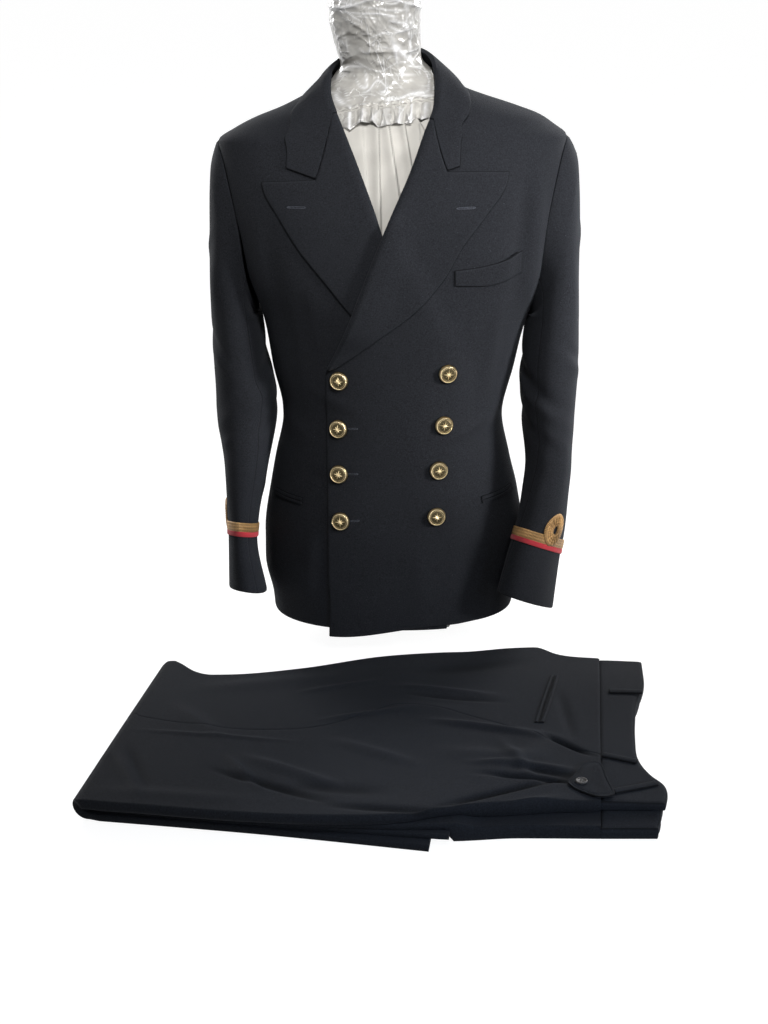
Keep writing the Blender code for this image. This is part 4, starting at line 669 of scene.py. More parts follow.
def collar_row(station, across):
    """One section of the collar: base, fold and fall, as points in space."""
    read = lambda column: float(COLLAR(column, station))
    side = 1 if station < 9 else -1
    which = "left" if station < 9 else "right"
    from_end = station if station < 9 else 18 - station
    wrapped = ease(from_end, 1.0, 4.4)
    edge = torso_point(np.float64(read("edge_z")), read("edge_angle"))
    edge = edge + torso_normal(edge) * COLLAR_LIFT
    crest = np.array([read("crest_x"), read("crest_y"), read("crest_z")])
    # Back type: the stand rises from the neck seam, the fold turns over it and the fall springs to its edge
    ring = torso_point(np.float64(NECK), read("base_angle"))
    out = unit((crest - (-0.01, 0.012, crest[2])) * (1, 1, 0))
    base = ring - out * 0.0019 + (0, 0, 0.0016)
    inner = crest - out * ROLL_RADIUS - (0, 0, 0.002)
    over = crest + out * ROLL_RADIUS - (0, 0, 0.002)
    top = crest + (0, 0, 0.001)
    stand = [base, base + (inner - base) * 0.55 - out * 0.0004, inner, top, over]
    spring = (1 - across[:, None]) * across[:, None]
    fall = over + across[:, None] * (edge - over) + spring * (out * 0.004 + (0, 0, 0.003))
    behind = np.concatenate([stand, fall])
    if wrapped >= 1:
        return behind
    # Front type: the fold and the fall lie on the front, and the last row follows the gorge and the notch
    heights = COLLAR("roll_z", station + np.array([-0.5, 0.0, 0.5]))
    line_up = np.stack([ROLL(LAPELS[which]["roll"], heights), heights], -1)
    roll = line_up[1:2]
    rising = unit(line_up[2] - line_up[0]) * side
    aside = np.array([rising[1], -rising[0]]) * side
    curl = curl_section(1.0)
    curl_map = roll + aside * curl[:, :1]
    edge_map = edge[[0, 2]]
    straight = roll[0] + across[:, None] * (edge_map - roll[0])
    bending = max(0.0, 1 - from_end / 2.6)
    if bending > 0:
        straight = straight + bending * end_bend(which, across)
    x = np.concatenate([curl_map[:, 0], straight[:, 0]])
    z = np.concatenate([curl_map[:, 1], straight[:, 1]])
    lift = np.concatenate([curl[:, 1], lapel_lift(across) + (COLLAR_LIFT - LAPEL_LIFT) * (1 - bending)])
    aside_gap = np.where(np.arange(len(x)) < FOLD_COLUMNS, 0.0, COLLAR_GAP[0]) * side
    ahead = on_front(x + aside_gap * bending, z + COLLAR_GAP[1] * bending, lift)
    return ahead * (1 - wrapped) + behind * wrapped


def end_bend(which, across):
    """How the collar's end row leaves a straight line: down the gorge to the notch, then to its corner."""
    gorge, notch = np.array(gorge_line(LAPELS[which])), np.array(COLLAR_NOTCH[which])
    return two_lines(gorge, notch, across) - (gorge[0] + across[:, None] * (notch[1] - gorge[0]))


def sleeve_point(which, place, turn):
    """Point of a sleeve: place 0 to 1 goes round the armhole's fan, 1 to 2 goes down to the cuff."""
    shape = SLEEVES[which]
    table, side = shape["table"], shape["side"]
    turn = np.asarray(turn, float)
    cos, sin = np.cos(np.radians(turn)), np.sin(np.radians(turn))
    cos_s, sin_s = bent(cos, 2 / SLEEVE_SQUARE), bent(sin, 2 / SLEEVE_SQUARE)
    if place <= 1:
        loop_z = ARMHOLE_MIDDLE + (ARMHOLE_RADIUS - ARMHOLE_SEAT) * cos
        loop_y = -(ARMHOLE_DEPTH - ARMHOLE_SEAT) * sin
        loop = torso_point(loop_z, side_angle(loop_y, loop_z))
        outer_z = TIP + (ARMHOLE_LOW - TIP) * place
        outer = np.array([SLEEVE_HEAD(which, outer_z), outer_z])
        first = table.rows[-1]
        inner_x = first[1] - first[3]
        inner = np.array([ARMPIT + (inner_x - ARMPIT) * place, ARMHOLE_LOW])
        half = (outer - inner) / 2
        centre = (outer + inner) / 2
        depth = ARMHOLE_DEPTH + (first[4] - ARMHOLE_DEPTH) * ease(place, 0, 0.8)
        fan = np.stack([centre[0] + half[0] * cos_s, first[2] * place - depth * sin_s,
                        centre[1] + half[1] * cos_s], -1)
        blend = ease(place, 0.0, 0.36 - 0.24 * np.clip(cos, 0, 1))[..., None]
        point = loop * (1 - blend) + fan * blend
        clear = 0.0001 + 0.005 * ease(place, 0.0, 0.25) * (1 - ease(place, 0.45, 1.0)) * np.clip(-cos, 0, 1)
        point[..., 0] += clear
    else:
        top, cuff = table.rows[-1, 0], table.rows[0, 0]
        z = top + (cuff - top) * (place - 1)
        read = lambda column: float(table(column, z))
        twist = np.radians(read("twist"))
        flat_x, flat_y = read("thin") * cos_s, -read("wide") * sin_s
        dx = flat_x * np.cos(twist) - flat_y * np.sin(twist)
        dy = flat_x * np.sin(twist) + flat_y * np.cos(twist)
        rise = read("slope_x") * dx + read("slope_y") * dy
        point = np.stack([read("x") + dx, read("y") + dy, z + rise], -1)
    return point * (side, 1, 1)


def sleeve_grid(which, places, turns):
    """Grid of plain sleeve points, turns in degrees from the outer side toward the front."""
    return np.array([sleeve_point(which, place, turns) for place in places])


def sleeve_wall(which, places, turns):
    """Outer grid of a sleeve, creased, and its outward normals."""
    places, turns = np.asarray(places, float), np.asarray(turns, float)
    plain = sleeve_grid(which, places, turns)
    around = sleeve_grid(which, places, turns + 2) - sleeve_grid(which, places, turns - 2)
    down = (sleeve_grid(which, np.clip(places + 0.01, 0, 2), turns)
            - sleeve_grid(which, np.clip(places - 0.01, 0, 2), turns))
    normals = unit(np.cross(around, down)) * SLEEVES[which]["side"]
    crease = np.zeros(plain.shape[:2])
    for fold in SLEEVE_FOLDS[which]:
        swing = (turns[None, :] - fold["angle"] + 180) % 360 - 180
        line = fold["z"] + fold["slant"] * swing / fold["round"]
        crease += (fold["height"] * np.exp(-(swing / fold["round"]) ** 2)
                   * np.exp(-((plain[..., 2] - line) / fold["tall"]) ** 2))
    fade = ease(places, 0.1, 0.5)[:, None]
    return plain + normals * (crease * fade)[..., None], normals


def cuff_place(which, above):
    """Place along the sleeve that lies this far above the cuff's edge."""
    table = SLEEVES[which]["table"]
    top, cuff = table.rows[-1, 0], table.rows[0, 0]
    return 2 - above / (top - cuff)


def trouser_place(reach, y, height):
    """World point of the folded trousers, whose layers lean along the leg."""
    reach, y, height = np.broadcast_arrays(reach, y, height)
    return np.stack([reach + TROUSER_SHEAR * (y - TROUSER_MIDDLE), y, height], -1)


def leg_top(reach, y):
    """Height of the top leg's upper side."""
    near, far = TOP_LEG("near", reach), TOP_LEG("far", reach)
    share = np.clip((y - near) / (far - near), 0, 1)
    crown = 0.002 * np.sin(np.pi * share) + 0.0035 * ease(reach, 0.06, 0.17) * ease(share, 0.35, 0.8)
    crown = crown - 0.004 * ease(reach, 0.17, 0.25) * (1 - ease(share, 0.5, 0.9))
    return TROUSER_TOP + crown + fold_lift(reach, y, TROUSER_FOLDS)


def band_height(reach, y):
    """Height of the upper waistband's upper side."""
    return leg_top(np.float64(BAND_SEAM), y) - 0.0008 - 0.002 * ease(reach, BAND_SEAM, 0.31)


def top_height(reach, y):
    """Height of what shows from above: the top leg, or the waistband beyond its seam."""
    return np.where(reach < BAND_SEAM, leg_top(np.minimum(reach, BAND_SEAM), y),
                    band_height(np.maximum(reach, BAND_SEAM), y))


# Finishes

class Value:
    """A number in a node tree, so that shader maths reads as plain arithmetic."""

    def __init__(self, finish, socket):
        self.finish = finish
        self.socket = socket

    def math(self, operation, *others, clamp=False):
        node = self.finish.node("ShaderNodeMath", dict(operation=operation, use_clamp=clamp))
        for place, item in enumerate((self, *others)):
            self.finish.feed(node.inputs[place], item)
        return Value(self.finish, node.outputs[0])

    def __add__(self, other):
        return self.math("ADD", other)

    def __sub__(self, other):
        return self.math("SUBTRACT", other)

    def __rsub__(self, other):
        return (self * -1.0) + other

    def __mul__(self, other):
        return self.math("MULTIPLY", other)

    def __truediv__(self, other):
        return self.math("DIVIDE", other)

    __radd__ = __add__
    __rmul__ = __mul__

    def sine(self):
        return self.math("SINE")

    def size(self):
        return self.math("ABSOLUTE")

    def held(self):
        return self.math("ADD", 0.0, clamp=True)


def feed(tree, socket, value):
    """Links a socket, or sets its value."""
    value = value.socket if isinstance(value, Value) else value
    if isinstance(value, bpy.types.NodeSocket):
        tree.links.new(value, socket)
    else:
        socket.default_value = value


def add_node(tree, kind, settings=None, **sockets):
    """A node with its settings, then with the values or links of its sockets."""
    made = tree.nodes.new(kind)
    for key, value in (settings or {}).items():
        setattr(made, key, value)
    for key, value in sockets.items():
        feed(tree, made.inputs[key.replace("_", " ").title()], value)
    return made


class Finish:
    """A material of one Principled shader, with short ways to make its pattern."""

    def __init__(self, name, roughness, metallic=0.0, **fixed):
        self.material = bpy.data.materials.get(name) or bpy.data.materials.new(name)
        self.material.use_nodes = True
        self.tree = self.material.node_tree
        self.tree.nodes.clear()
        self.shader = self.node("ShaderNodeBsdfPrincipled", Roughness=roughness, Metallic=metallic, **fixed)
        self.node("ShaderNodeOutputMaterial", Surface=self.shader.outputs["BSDF"])

    def node(self, kind, settings=None, **sockets):
        return add_node(self.tree, kind, settings, **sockets)

    def feed(self, socket, value):
        feed(self.tree, socket, value)

    def map(self):
        """The cloth's own map, in metres across and along the piece."""
        flat = self.node("ShaderNodeUVMap", dict(uv_map="cloth")).outputs[0]
        split = self.node("ShaderNodeSeparateXYZ", Vector=flat)
        return Value(self, split.outputs[0]), Value(self, split.outputs[1])

    def place(self):
        return self.node("ShaderNodeTexCoord").outputs["Object"]

    def noise(self, scale, detail):
        made = self.node("ShaderNodeTexNoise", None, Vector=self.place(), Scale=scale, Detail=detail)
        return Value(self, made.outputs[0])

    def attribute(self, name):
        return Value(self, self.node("ShaderNodeAttribute", dict(attribute_name=name)).outputs["Fac"])

    def ramp(self, value, low, high):
        """0 below low, 1 above high, straight between."""
        return ((value - low) / (high - low)).held()

    def blend(self, share, first, second):
        """Mix of two colours, each one a socket or plain numbers."""
        ends = [end if isinstance(end, bpy.types.NodeSocket) else (*end, 1.0) for end in (first, second)]
        made = self.node("ShaderNodeMix", dict(data_type="RGBA"), Factor=share, A=ends[0], B=ends[1])
        return made.outputs["Result"]

    def raise_by(self, height, distance, strength=1.0):
        bump = self.node("ShaderNodeBump", None, Strength=strength, Distance=distance, Height=height)
        self.tree.links.new(bump.outputs[0], self.shader.inputs["Normal"])

    def paint(self, colour):
        self.tree.links.new(colour, self.shader.inputs["Base Color"])

    def rub(self, value):
        self.feed(self.shader.inputs["Roughness"], value)


def scaled(colour, gain):
    return tuple(channel * gain for channel in colour)


def navy_wool(colour, name="Navy wool"):
    """Worsted wool: a fine steep twill, soft fuzz, faint broad tone and a few bits of lint, with painted
    shade along its edges and in its folds and painted highlight on its fold ridges.
    """
    cloth = Finish(name, 0.86, sheen_weight=0.045, sheen_roughness=0.45)
    cloth.shader.inputs["Sheen Tint"].default_value = (0.62, 0.66, 0.74, 1.0)
    cloth.shader.inputs["Specular IOR Level"].default_value = 0.06
    across, along_cloth = cloth.map()
    turn = 2 * np.pi
    twill = ((across * (turn / 0.00085)) + (along_cloth * (turn / 0.00145))).sine()
    weft = ((along_cloth * (turn / 0.0011)) - (across * (turn / 0.0052))).sine()
    fuzz = cloth.noise(2600.0, 2.0)
    tone = cloth.noise(9.0, 4.0)
    mottle = (cloth.noise(620.0, 3.0) - 0.5) * 3.0 + 0.5
    lint = cloth.ramp(cloth.noise(760.0, 1.0), 0.775, 0.8)
    worn = cloth.attribute("worn")
    weave = twill * 0.35 + weft * 0.15 + fuzz * 0.9
    share = (tone * 0.35 + mottle * 0.6 + twill * 0.14).held()
    base = cloth.blend(share, scaled(colour, 0.55), scaled(colour, 1.5))
    # Painted highlight: paler where the marks are above zero, just inside the cloth's edges and on the
    # trousers' fold ridges.
    base = cloth.blend((worn * 0.22).held(), base, scaled(colour, 2.1))
    # Painted shade: a dark outline where the marks near 1 at every cloth edge, and dark where they go below
    # zero, in the trousers' fold valleys and the hip pocket's opening.
    dark = (cloth.ramp(worn, 0.6, 1.0) * 0.8 + (worn * -1.0).held()).held()
    base = cloth.blend(dark, base, scaled(colour, 0.1))
    base = cloth.blend((lint * 0.3).held(), base, (0.2, 0.22, 0.26))
    cloth.paint(base)
    cloth.rub(0.8 + 0.08 * mottle - 0.05 * worn)
    cloth.raise_by(weave, 0.00016, 0.75)
    return cloth.material


def gold_wire(colour):
    """Aged wire lace: close ribs across, ridges along both edges and a darker line in the middle."""
    lace = Finish("Gold wire lace", 0.46, 0.35)
    across, along_lace = lace.map()
    ribs = (across * (2 * np.pi / 0.00175)).sine()
    rows = (along_lace * (2 * np.pi / 0.0038)).sine()
    grain = lace.noise(900.0, 3.0)
    age = lace.noise(46.0, 4.0)
    light = (ribs * 0.24 + rows * 0.14 + age * 1.1 + grain * 0.5 - 0.34).held()
    tone = lace.blend(light, scaled(colour, 0.34), (colour[0] * 1.38, colour[1] * 1.45, colour[2] * 1.7))
    lace.paint(tone)
    lace.rub(0.38 + 0.24 * age)
    lace.raise_by(ribs * 0.6 + rows * 0.4 + grain * 0.5, 0.0004, 0.9)
    return lace.material


def red_felt(colour):
    """Milled red cloth with a soft nap."""
    felt = Finish("Red distinction cloth", 0.92, sheen_weight=0.25, sheen_roughness=0.5)
    felt.shader.inputs["Sheen Tint"].default_value = (1.0, 0.45, 0.45, 1.0)
    nap = felt.noise(1500.0, 3.0)
    tone = felt.noise(60.0, 3.0)
    felt.paint(felt.blend((tone * 0.7 + nap * 0.4 - 0.05).held(), scaled(colour, 0.72), scaled(colour, 1.18)))
    felt.rub(0.84 + 0.12 * nap)
    felt.raise_by(nap, 0.0002, 0.8)
    return felt.material


def gilt(colour):
    """Gilt brass: bright on the raised work, brown in the hollows, softly scratched."""
    metal = Finish("Gilt brass", 0.3, 1.0)
    raised = metal.attribute("worn")
    tarnish = metal.noise(240.0, 4.0)
    fine = metal.noise(2200.0, 2.0)
    share = (raised * 1.6 + tarnish * 0.6 - 0.44).held()
    metal.paint(metal.blend(share, scaled(colour, 0.09), (colour[0] * 1.1, colour[1] * 1.1, colour[2] * 1.2)))
    metal.rub(0.46 - 0.2 * raised + 0.12 * fine)
    metal.raise_by(fine, 0.00005, 0.5)
    return metal.material


def pale_cover(colour):
    """Pale cover with painted shade lines along its pleats' edges, and creased glossy film with painted white
    highlight lines over it.
    """
    cover = Finish("Form cover", 0.42, coat_roughness=0.1)
    value = cover.attribute("worn")
    film = cover.ramp(value, 0.02, 0.28)
    # Painted highlight where the marks are high, on the film's creases.
    crease = cover.ramp(value, 0.34, 0.95)
    # Painted shade where the marks go below zero, along the pleats' edges.
    dark = cover.ramp(value * -1.0, 0.05, 0.95)
    soft = cover.noise(34.0, 5.0)
    fine = cover.noise(420.0, 4.0)
    tone = cover.blend((soft * 1.2 - 0.1).held(), scaled(colour, 0.9), scaled(colour, 1.12))
    grey = cover.blend((soft * 2.6 - 0.8).held(), scaled(colour, 0.5), scaled(colour, 0.9))
    tone = cover.blend(film, tone, grey)
    # Painted highlights: thin white lines from a noise's contour lines, on the film only.
    lines = (1.0 - (cover.noise(52.0, 2.0) - 0.5).size() * 46.0).held()
    lines = lines * cover.ramp(cover.noise(60.0, 1.0), 0.48, 0.6)
    tone = cover.blend((crease * 0.8 + lines * film * 0.42).held(), tone, (0.9, 0.9, 0.91))
    cover.paint(cover.blend(dark, tone, scaled(colour, 0.26)))
    cover.rub(0.7 - 0.46 * film + 0.12 * fine)
    cover.feed(cover.shader.inputs["Coat Weight"], film * 0.9)
    cover.raise_by((soft * 0.6 + crease * 0.35 + lines * 0.3) * film + fine * 0.08, 0.0022, 0.75)
    return cover.material


def horn(colour):
    """Dark horn with faint lighter streaks."""
    dark = Finish("Dark horn", 0.3)
    streak = dark.noise(180.0, 5.0)
    dark.paint(dark.blend((streak * 1.2 - 0.2).held(), colour, (0.1, 0.085, 0.075)))
    dark.rub(0.42 + 0.22 * streak)
    dark.raise_by(dark.noise(900.0, 2.0), 0.00004, 0.4)
    return dark.material


def navy_thread(colour):
    """Buttonhole twist: the wool's navy, a little paler and silkier."""
    return navy_wool(scaled(colour, 4.2), "Navy thread")


FINISHES = {"navy_cloth": navy_wool, "gold_lace": gold_wire, "red_cloth": red_felt, "gilt_brass": gilt,
            "form_cover": pale_cover, "dark_horn": horn, "navy_thread": navy_thread}
SLOT_COLOUR = {"navy_thread": "navy_cloth"}
made_finishes = {}


def finish_of(slot):
    """The material of a slot, made once."""
    if slot not in made_finishes:
        made_finishes[slot] = FINISHES[slot](tuple(getattr(colours(), SLOT_COLOUR.get(slot, slot))))
    return made_finishes[slot]


def sizes():
    return bpy.context.scene.uniform_sizes


def colours():
    return bpy.context.scene.uniform_colours


def staging():
    return bpy.context.scene.uniform_stage


def ripple(points, seed, size=0.00022):
    """Faint unevenness of worn cloth: a few long waves with no common direction."""
    source = np.random.default_rng(seed)
    total = np.zeros(points.shape[:-1])
    for _ in range(9):
        heading = unit(source.normal(size=3))
        length = source.uniform(0.035, 0.12)
        total += size * np.sin(points @ heading * 2 * np.pi / length + source.uniform(0, 6.28))
    return total


def spread(count, length, first=0.0, last=1.0):
    """Shares along a length, even in the middle and close together at both edges."""
    close = np.array(CLOSE_STEPS) / length
    middle = np.linspace(close[-1] + 1 / count, 1 - close[-1] - 1 / count, count)
    return first + (last - first) * np.concatenate([close, middle, 1 - close[::-1]])


def running(grid, axis):
    """Length along the lines of a grid, from their first points."""
    steps = np.linalg.norm(np.diff(grid, axis=axis), axis=-1)
    start = np.zeros_like(np.take(steps, [0], axis=axis))
    return np.concatenate([start, np.cumsum(steps, axis=axis)], axis=axis)


def edge_fade(grid, width, columns=True):
    """1 at the edges of a grid, fading inward over a width."""
    fade = np.zeros(grid.shape[:2])
    for axis in (1, 0) if columns else (0,):
        run = running(grid, axis)
        away = np.minimum(run, np.max(run, axis=axis, keepdims=True) - run)
        fade = np.maximum(fade, np.exp(-(away / width) ** 2))
    return fade


def placed(name, data):
    """Object with this data, linked at the origin."""
    made = bpy.data.objects.new(name, data)
    bpy.context.scene.collection.objects.link(made)
    return made


def merge(mesh, distance):
    """Joins the points of a mesh that lie on each other."""
    shape = bmesh.new()
    shape.from_mesh(mesh)
    bmesh.ops.remove_doubles(shape, verts=shape.verts[:], dist=distance)
    shape.to_mesh(mesh)
    shape.free()


def new_mesh(name, verts, faces, corner_uv, finish, values, angle=60.0):
    """Mesh of quads with its own map in metres, faces turned outward."""
    verts, faces = np.asarray(verts, float), np.asarray(faces, int)
    corner_uv = np.asarray(corner_uv, float)
    a, b, c, d = (verts[faces[:, k]] for k in range(4))
    volume = np.sum(a * np.cross(b, c)) + np.sum(a * np.cross(c, d))
    if volume < 0:
        faces, corner_uv = faces[:, ::-1], corner_uv[:, ::-1]
    mesh = bpy.data.meshes.new(name)
    mesh.vertices.add(len(verts))
    mesh.vertices.foreach_set("co", verts.ravel())
    mesh.loops.add(faces.size)
    mesh.loops.foreach_set("vertex_index", faces.ravel())
    mesh.polygons.add(len(faces))
    mesh.polygons.foreach_set("loop_start", np.arange(0, faces.size, 4))
    mesh.update(calc_edges=True)
    layer = mesh.uv_layers.new(name="cloth")
    layer.data.foreach_set("uv", corner_uv.ravel())
    shade = mesh.attributes.new("worn", "FLOAT", "POINT")
    shade.data.foreach_set("value", np.asarray(values, float).ravel())
    mesh.materials.append(finish)
    mesh.shade_smooth()
    mesh.set_sharp_from_angle(angle=np.radians(angle))
    mesh.validate()
    return placed(name, mesh)


def patch_faces(rows, columns, wrap=False):
    """Quads of a grid, with the row and column of each of their corners."""
    row, column = np.meshgrid(np.arange(rows - 1), np.arange(columns if wrap else columns - 1), indexing="ij")
    corners = [(row, column), (row, column + 1), (row + 1, column + 1), (row + 1, column)]
    index = np.stack([r * columns + c % columns for r, c in corners], -1).reshape(-1, 4)
    place = np.stack([np.stack([r, c], -1) for r, c in corners], -2).reshape(-1, 4, 2)
    return index, place


def border_of(rows, columns):
    """Rows and columns of a grid's border points, once round, and of the points just inside them."""
    border = [(0, c) for c in range(columns)]
    border += [(r, columns - 1) for r in range(1, rows)]
    border += [(rows - 1, c) for c in range(columns - 2, -1, -1)]
    border += [(r, 0) for r in range(rows - 2, 0, -1)]
    row, column = np.array(border).T
    return (row, column), (np.clip(row, 1, rows - 2), np.clip(column, 1, columns - 2))


def wall(name, upper, low, fade, uv, rims, slot, wrap=False):
    """Closed wall between two grids; a rim is a line of the grid, its map and the rows that round it."""
    count = fade.size
    front, place = patch_faces(*fade.shape, wrap)
    corner = uv[place[..., 0], place[..., 1]]
    faces, maps = [front, (front + count)[:, ::-1]], [corner, corner[:, ::-1]]
    # Marks of the outer grid and of the rims, which the wool paints as shade at the edges; the inner grid is
    # marked 0.
    layers, worn = [upper.reshape(-1, 3), low.reshape(-1, 3)], [fade.ravel(), np.zeros(count)]
    total = 2 * count
    for line, ends, rounding in rims:
        loops = [line]
        for points, shade in rounding:
            loops.append(total + np.arange(len(line)))
            layers.append(points)
            worn.append(np.full(len(line), shade))
            total += len(line)
        loops.append(line + count)
        steps = np.arange(len(line))
        after = (steps + 1) % len(line)
        here, there = ends[steps], ends[steps + 1 if len(ends) > len(line) else after]
        for first, second in zip(loops, loops[1:]):
            faces.append(np.stack([first[steps], second[steps], second[after], first[after]], -1))
            maps.append(np.stack([here, here, there, there], 1))
    return new_mesh(name, np.concatenate(layers), np.concatenate(faces), np.concatenate(maps),
                    finish_of(slot), np.concatenate(worn))


def shell(name, outer, slot, thickness=0.0018, normals=None, wrap=False, dip=0.0005):
    """Closed cloth wall under an outer grid: its edges are rolled and marked for a painted dark outline of
    shade, and it keeps a map in metres.
    """
    outer = np.asarray(outer, float)
    rows, columns = outer.shape[:2]
    if normals is None:
        normals = grid_normals(outer)
        if np.sum(normals[:, -1] * torso_normal(outer[:, -1])) < 0:
            normals = -normals
    closed = np.concatenate([outer, outer[:, :1]], axis=1) if wrap else outer
    # fade marks the edges: painted shade in the wool, as well as the dip of the rolled edge.
    fade = edge_fade(closed, EDGE_WIDTH, columns=not wrap)[:, :columns]
    outer = outer - normals * (dip * fade)[..., None]
    inner = outer - normals * thickness
    across, down = running(closed, 1), running(closed, 0)
    across = across - np.mean(across[:, -1:]) / 2
    if wrap:
        across = np.broadcast_to(across.mean(axis=0), across.shape)
    uv = np.stack([across, down], -1)
    if wrap:
        first = np.arange(columns)
        last = (rows - 1) * columns + first[::-1]
        edges = [(first, first + columns, uv[0]), (last, last - columns, uv[-1][::-1])]
    else:
        border, inside = border_of(rows, columns)
        edges = [(border[0] * columns + border[1], inside[0] * columns + inside[1], uv[border])]
    flat, below = outer.reshape(-1, 3), inner.reshape(-1, 3)
    rims = []
    for line, near, ends in edges:
        outward = unit(flat[line] - flat[near])
        middle = (flat[line] + below[line]) / 2 + outward * thickness * RIM_BULGE
        # The rim's middle loop is marked 1: painted shade in the wool.
        rims.append((line, ends, [(middle, 1.0)]))
    return wall(name, outer, inner, fade, uv, rims, slot, wrap)


def tube(name, rings, slot, values=None, angle=50.0):
    """Closed body through rings of points; both ends close to their middle."""
    rings = np.asarray(rings, float)
    ends = [np.repeat(rings[i].mean(axis=0)[None], rings.shape[1], axis=0) for i in (0, -1)]
    grid = np.concatenate([ends[0][None], rings, ends[1][None]])
    closed = np.concatenate([grid, grid[:, :1]], axis=1)
    uv = np.stack([running(closed, 1), np.broadcast_to(running(closed, 0)[:, :1], closed.shape[:2])], -1)
    faces, place = patch_faces(*grid.shape[:2], True)
    corner = uv[place[..., 0], place[..., 1]]
    shade = np.zeros(grid.shape[:2])
    if values is not None:
        shade[1:-1] = values
    piece = new_mesh(name, grid.reshape(-1, 3), faces, corner, finish_of(slot), shade, angle)
    merge(piece.data, 1e-6)
    return piece


def wear(piece, slot, *nodes):
    """Rides a finished piece on the body and hides the nodes that it stands for; the slot is not used."""
    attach(piece, BODY)
    if nodes:
        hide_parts(*nodes)
    return piece


def cut_cloth(piece, width, length, held, rests_on):
    """Works out the flat size that a piece of cloth was cut to, a closed wall counting half of its surface,
    and keeps none of it.
    """
    area = sum(polygon.area for polygon in piece.data.polygons) / 2
    width, length = max(width, LEAST_FLAT), max(length, LEAST_FLAT)
    if area > width * length:
        length = area / width * 1.001
    area = max(area, 0.301 * width * length)
    return piece


def grid_size(grid):
    """Widest row and longest column of a grid."""
    return float(np.max(running(grid, 1)[:, -1])), float(np.max(running(grid, 0)[-1]))


def sew(node, outer, held, rests_on, normals=None, size=None, thickness=None, dip=0.0005):
    """One sewn piece of wool over a node: its wall and its slot; the flat size it was cut to is worked out
    but not kept.
    """
    piece = shell(node + "_cloth", outer, "navy_cloth", thickness or sizes().cloth, normals, dip=dip)
    wear(piece, "navy_cloth", node)
    return cut_cloth(piece, *(size or grid_size(outer)), held, rests_on)


# The jacket

def dense_levels():
    """Row heights of a body panel: hem to armpit, the armhole's curve, and up the shoulder."""
    hem = HEM + np.array([0.0, 0.0006, 0.0014, 0.0026, 0.0045])
    lower = np.linspace(HEM + 0.01, ARMHOLE_LOW, 62)[:-1]
    arm = ARMHOLE_MIDDLE + ARMHOLE_RADIUS * np.cos(np.radians(np.linspace(180, 0, 46)))
    upper = np.concatenate([np.linspace(TIP + 0.004, 0.757, 22), [0.76, 0.7625, 0.764, NECK]])
    return np.concatenate([hem, lower, arm, upper])


def panel_grid(start, end, columns, lap=False, front=None):
    """Outer grid of one body panel between two edges, given as angles by height."""
    outer = []
    for z in dense_levels():
        angles = spaced_angles(z, start(z), end(z), 161)
        shares = spread(columns, 0.22)
        angles = np.interp(shares, np.linspace(0, 1, 161), angles)
        flat = torso_point(np.full(angles.shape, z), angles)
        drop = np.zeros(angles.shape)
        if front:
            drop = hem_drop(flat[:, 0], front == "over") * (1 - ease(z, HEM, HEM_FADE))
        base = torso_point(z + drop, angles)
        lift = torso_drape(base)
        if lap:
            lift = lift + fronts_lap(base[:, 0], base[:, 2])
        outer.append(base + torso_normal(base) * lift[:, None])
    return hung(np.array(outer))


def build_panels():
    """Two fronts and two backs."""
    panels = {
        "jacket_front_left": dict(
            start=lambda z: front_angle(FRONT_EDGE if z < BREAK else ROLL("over", z), np.float64(z)),
            end=lambda z: arm_edge_angle(z, -1), columns=72, lap=True, front="over"),
        "jacket_front_right": dict(
            start=lambda z: -arm_edge_angle(z, -1),
            end=lambda z: front_angle(UNDER_EDGE if z < BREAK else ROLL("under", z), np.float64(z)),
            columns=72, front="under"),
        "jacket_back_left": dict(
            start=lambda z: arm_edge_angle(z, 1), end=lambda z: 180 - seam_turn(z), columns=60),
        "jacket_back_right": dict(
            start=lambda z: 180 + seam_turn(z), end=lambda z: 360 - arm_edge_angle(z, 1), columns=60),
    }
    for name, shape in panels.items():
        grid = panel_grid(**shape)
        sew(name, grid, "draped", ["dress_form_cover"], torso_normal(grid))


def build_lapels():
    """Each lapel rolls off its front, springs above it and settles at the pointed edge."""
    for which, shape in LAPELS.items():
        over = which == "left"
        share, roll, across, grid = lapel_map(shape, 96 if over else 76, 58)
        full = 0.45 + 0.55 * ease(share, 0.0, 0.2) if over else ease(roll[:, 1], 0.562, 0.615)
        section = curl_section(full)
        direction = np.gradient(roll, axis=0)
        aside = unit(np.stack([direction[:, 1], -direction[:, 0]], -1)) * shape["side"]
        curl = roll[:, None] + aside[:, None] * section[..., :1]
        free = full[:, None] if over else ease(ROLL("over", grid[..., 1]) - grid[..., 0], 0.01, 0.04)
        lifts = LAPEL_LIFT + (lapel_lift(across) - LAPEL_LIFT) * free
        flat = np.concatenate([np.stack([curl[..., 0], curl[..., 1], section[..., 1]], -1),
                               np.stack([grid[..., 0], grid[..., 1], lifts], -1)], axis=1)
        points = hung(on_front(flat[..., 0], flat[..., 1], flat[..., 2], over=over))
        sew("lapel_" + which, points, "folded", ["jacket_front_%s_cloth" % which], dip=0.0004)


def build_collar():
    """Stand and fall in one folded wall, swept round the neck."""
    stations = np.concatenate([[0, 0.02, 0.05, 0.1], np.linspace(0.2, 17.8, 150), [17.9, 17.95, 17.98, 18]])
    across = np.concatenate([np.linspace(LAPEL_START, 0.985, 34), [0.992, 1.0]])
    grid = hung(np.array([collar_row(station, across) for station in stations]))
    sew("collar", grid, "folded", ["jacket_back_left_cloth", "jacket_back_right_cloth"], dip=0.0004)


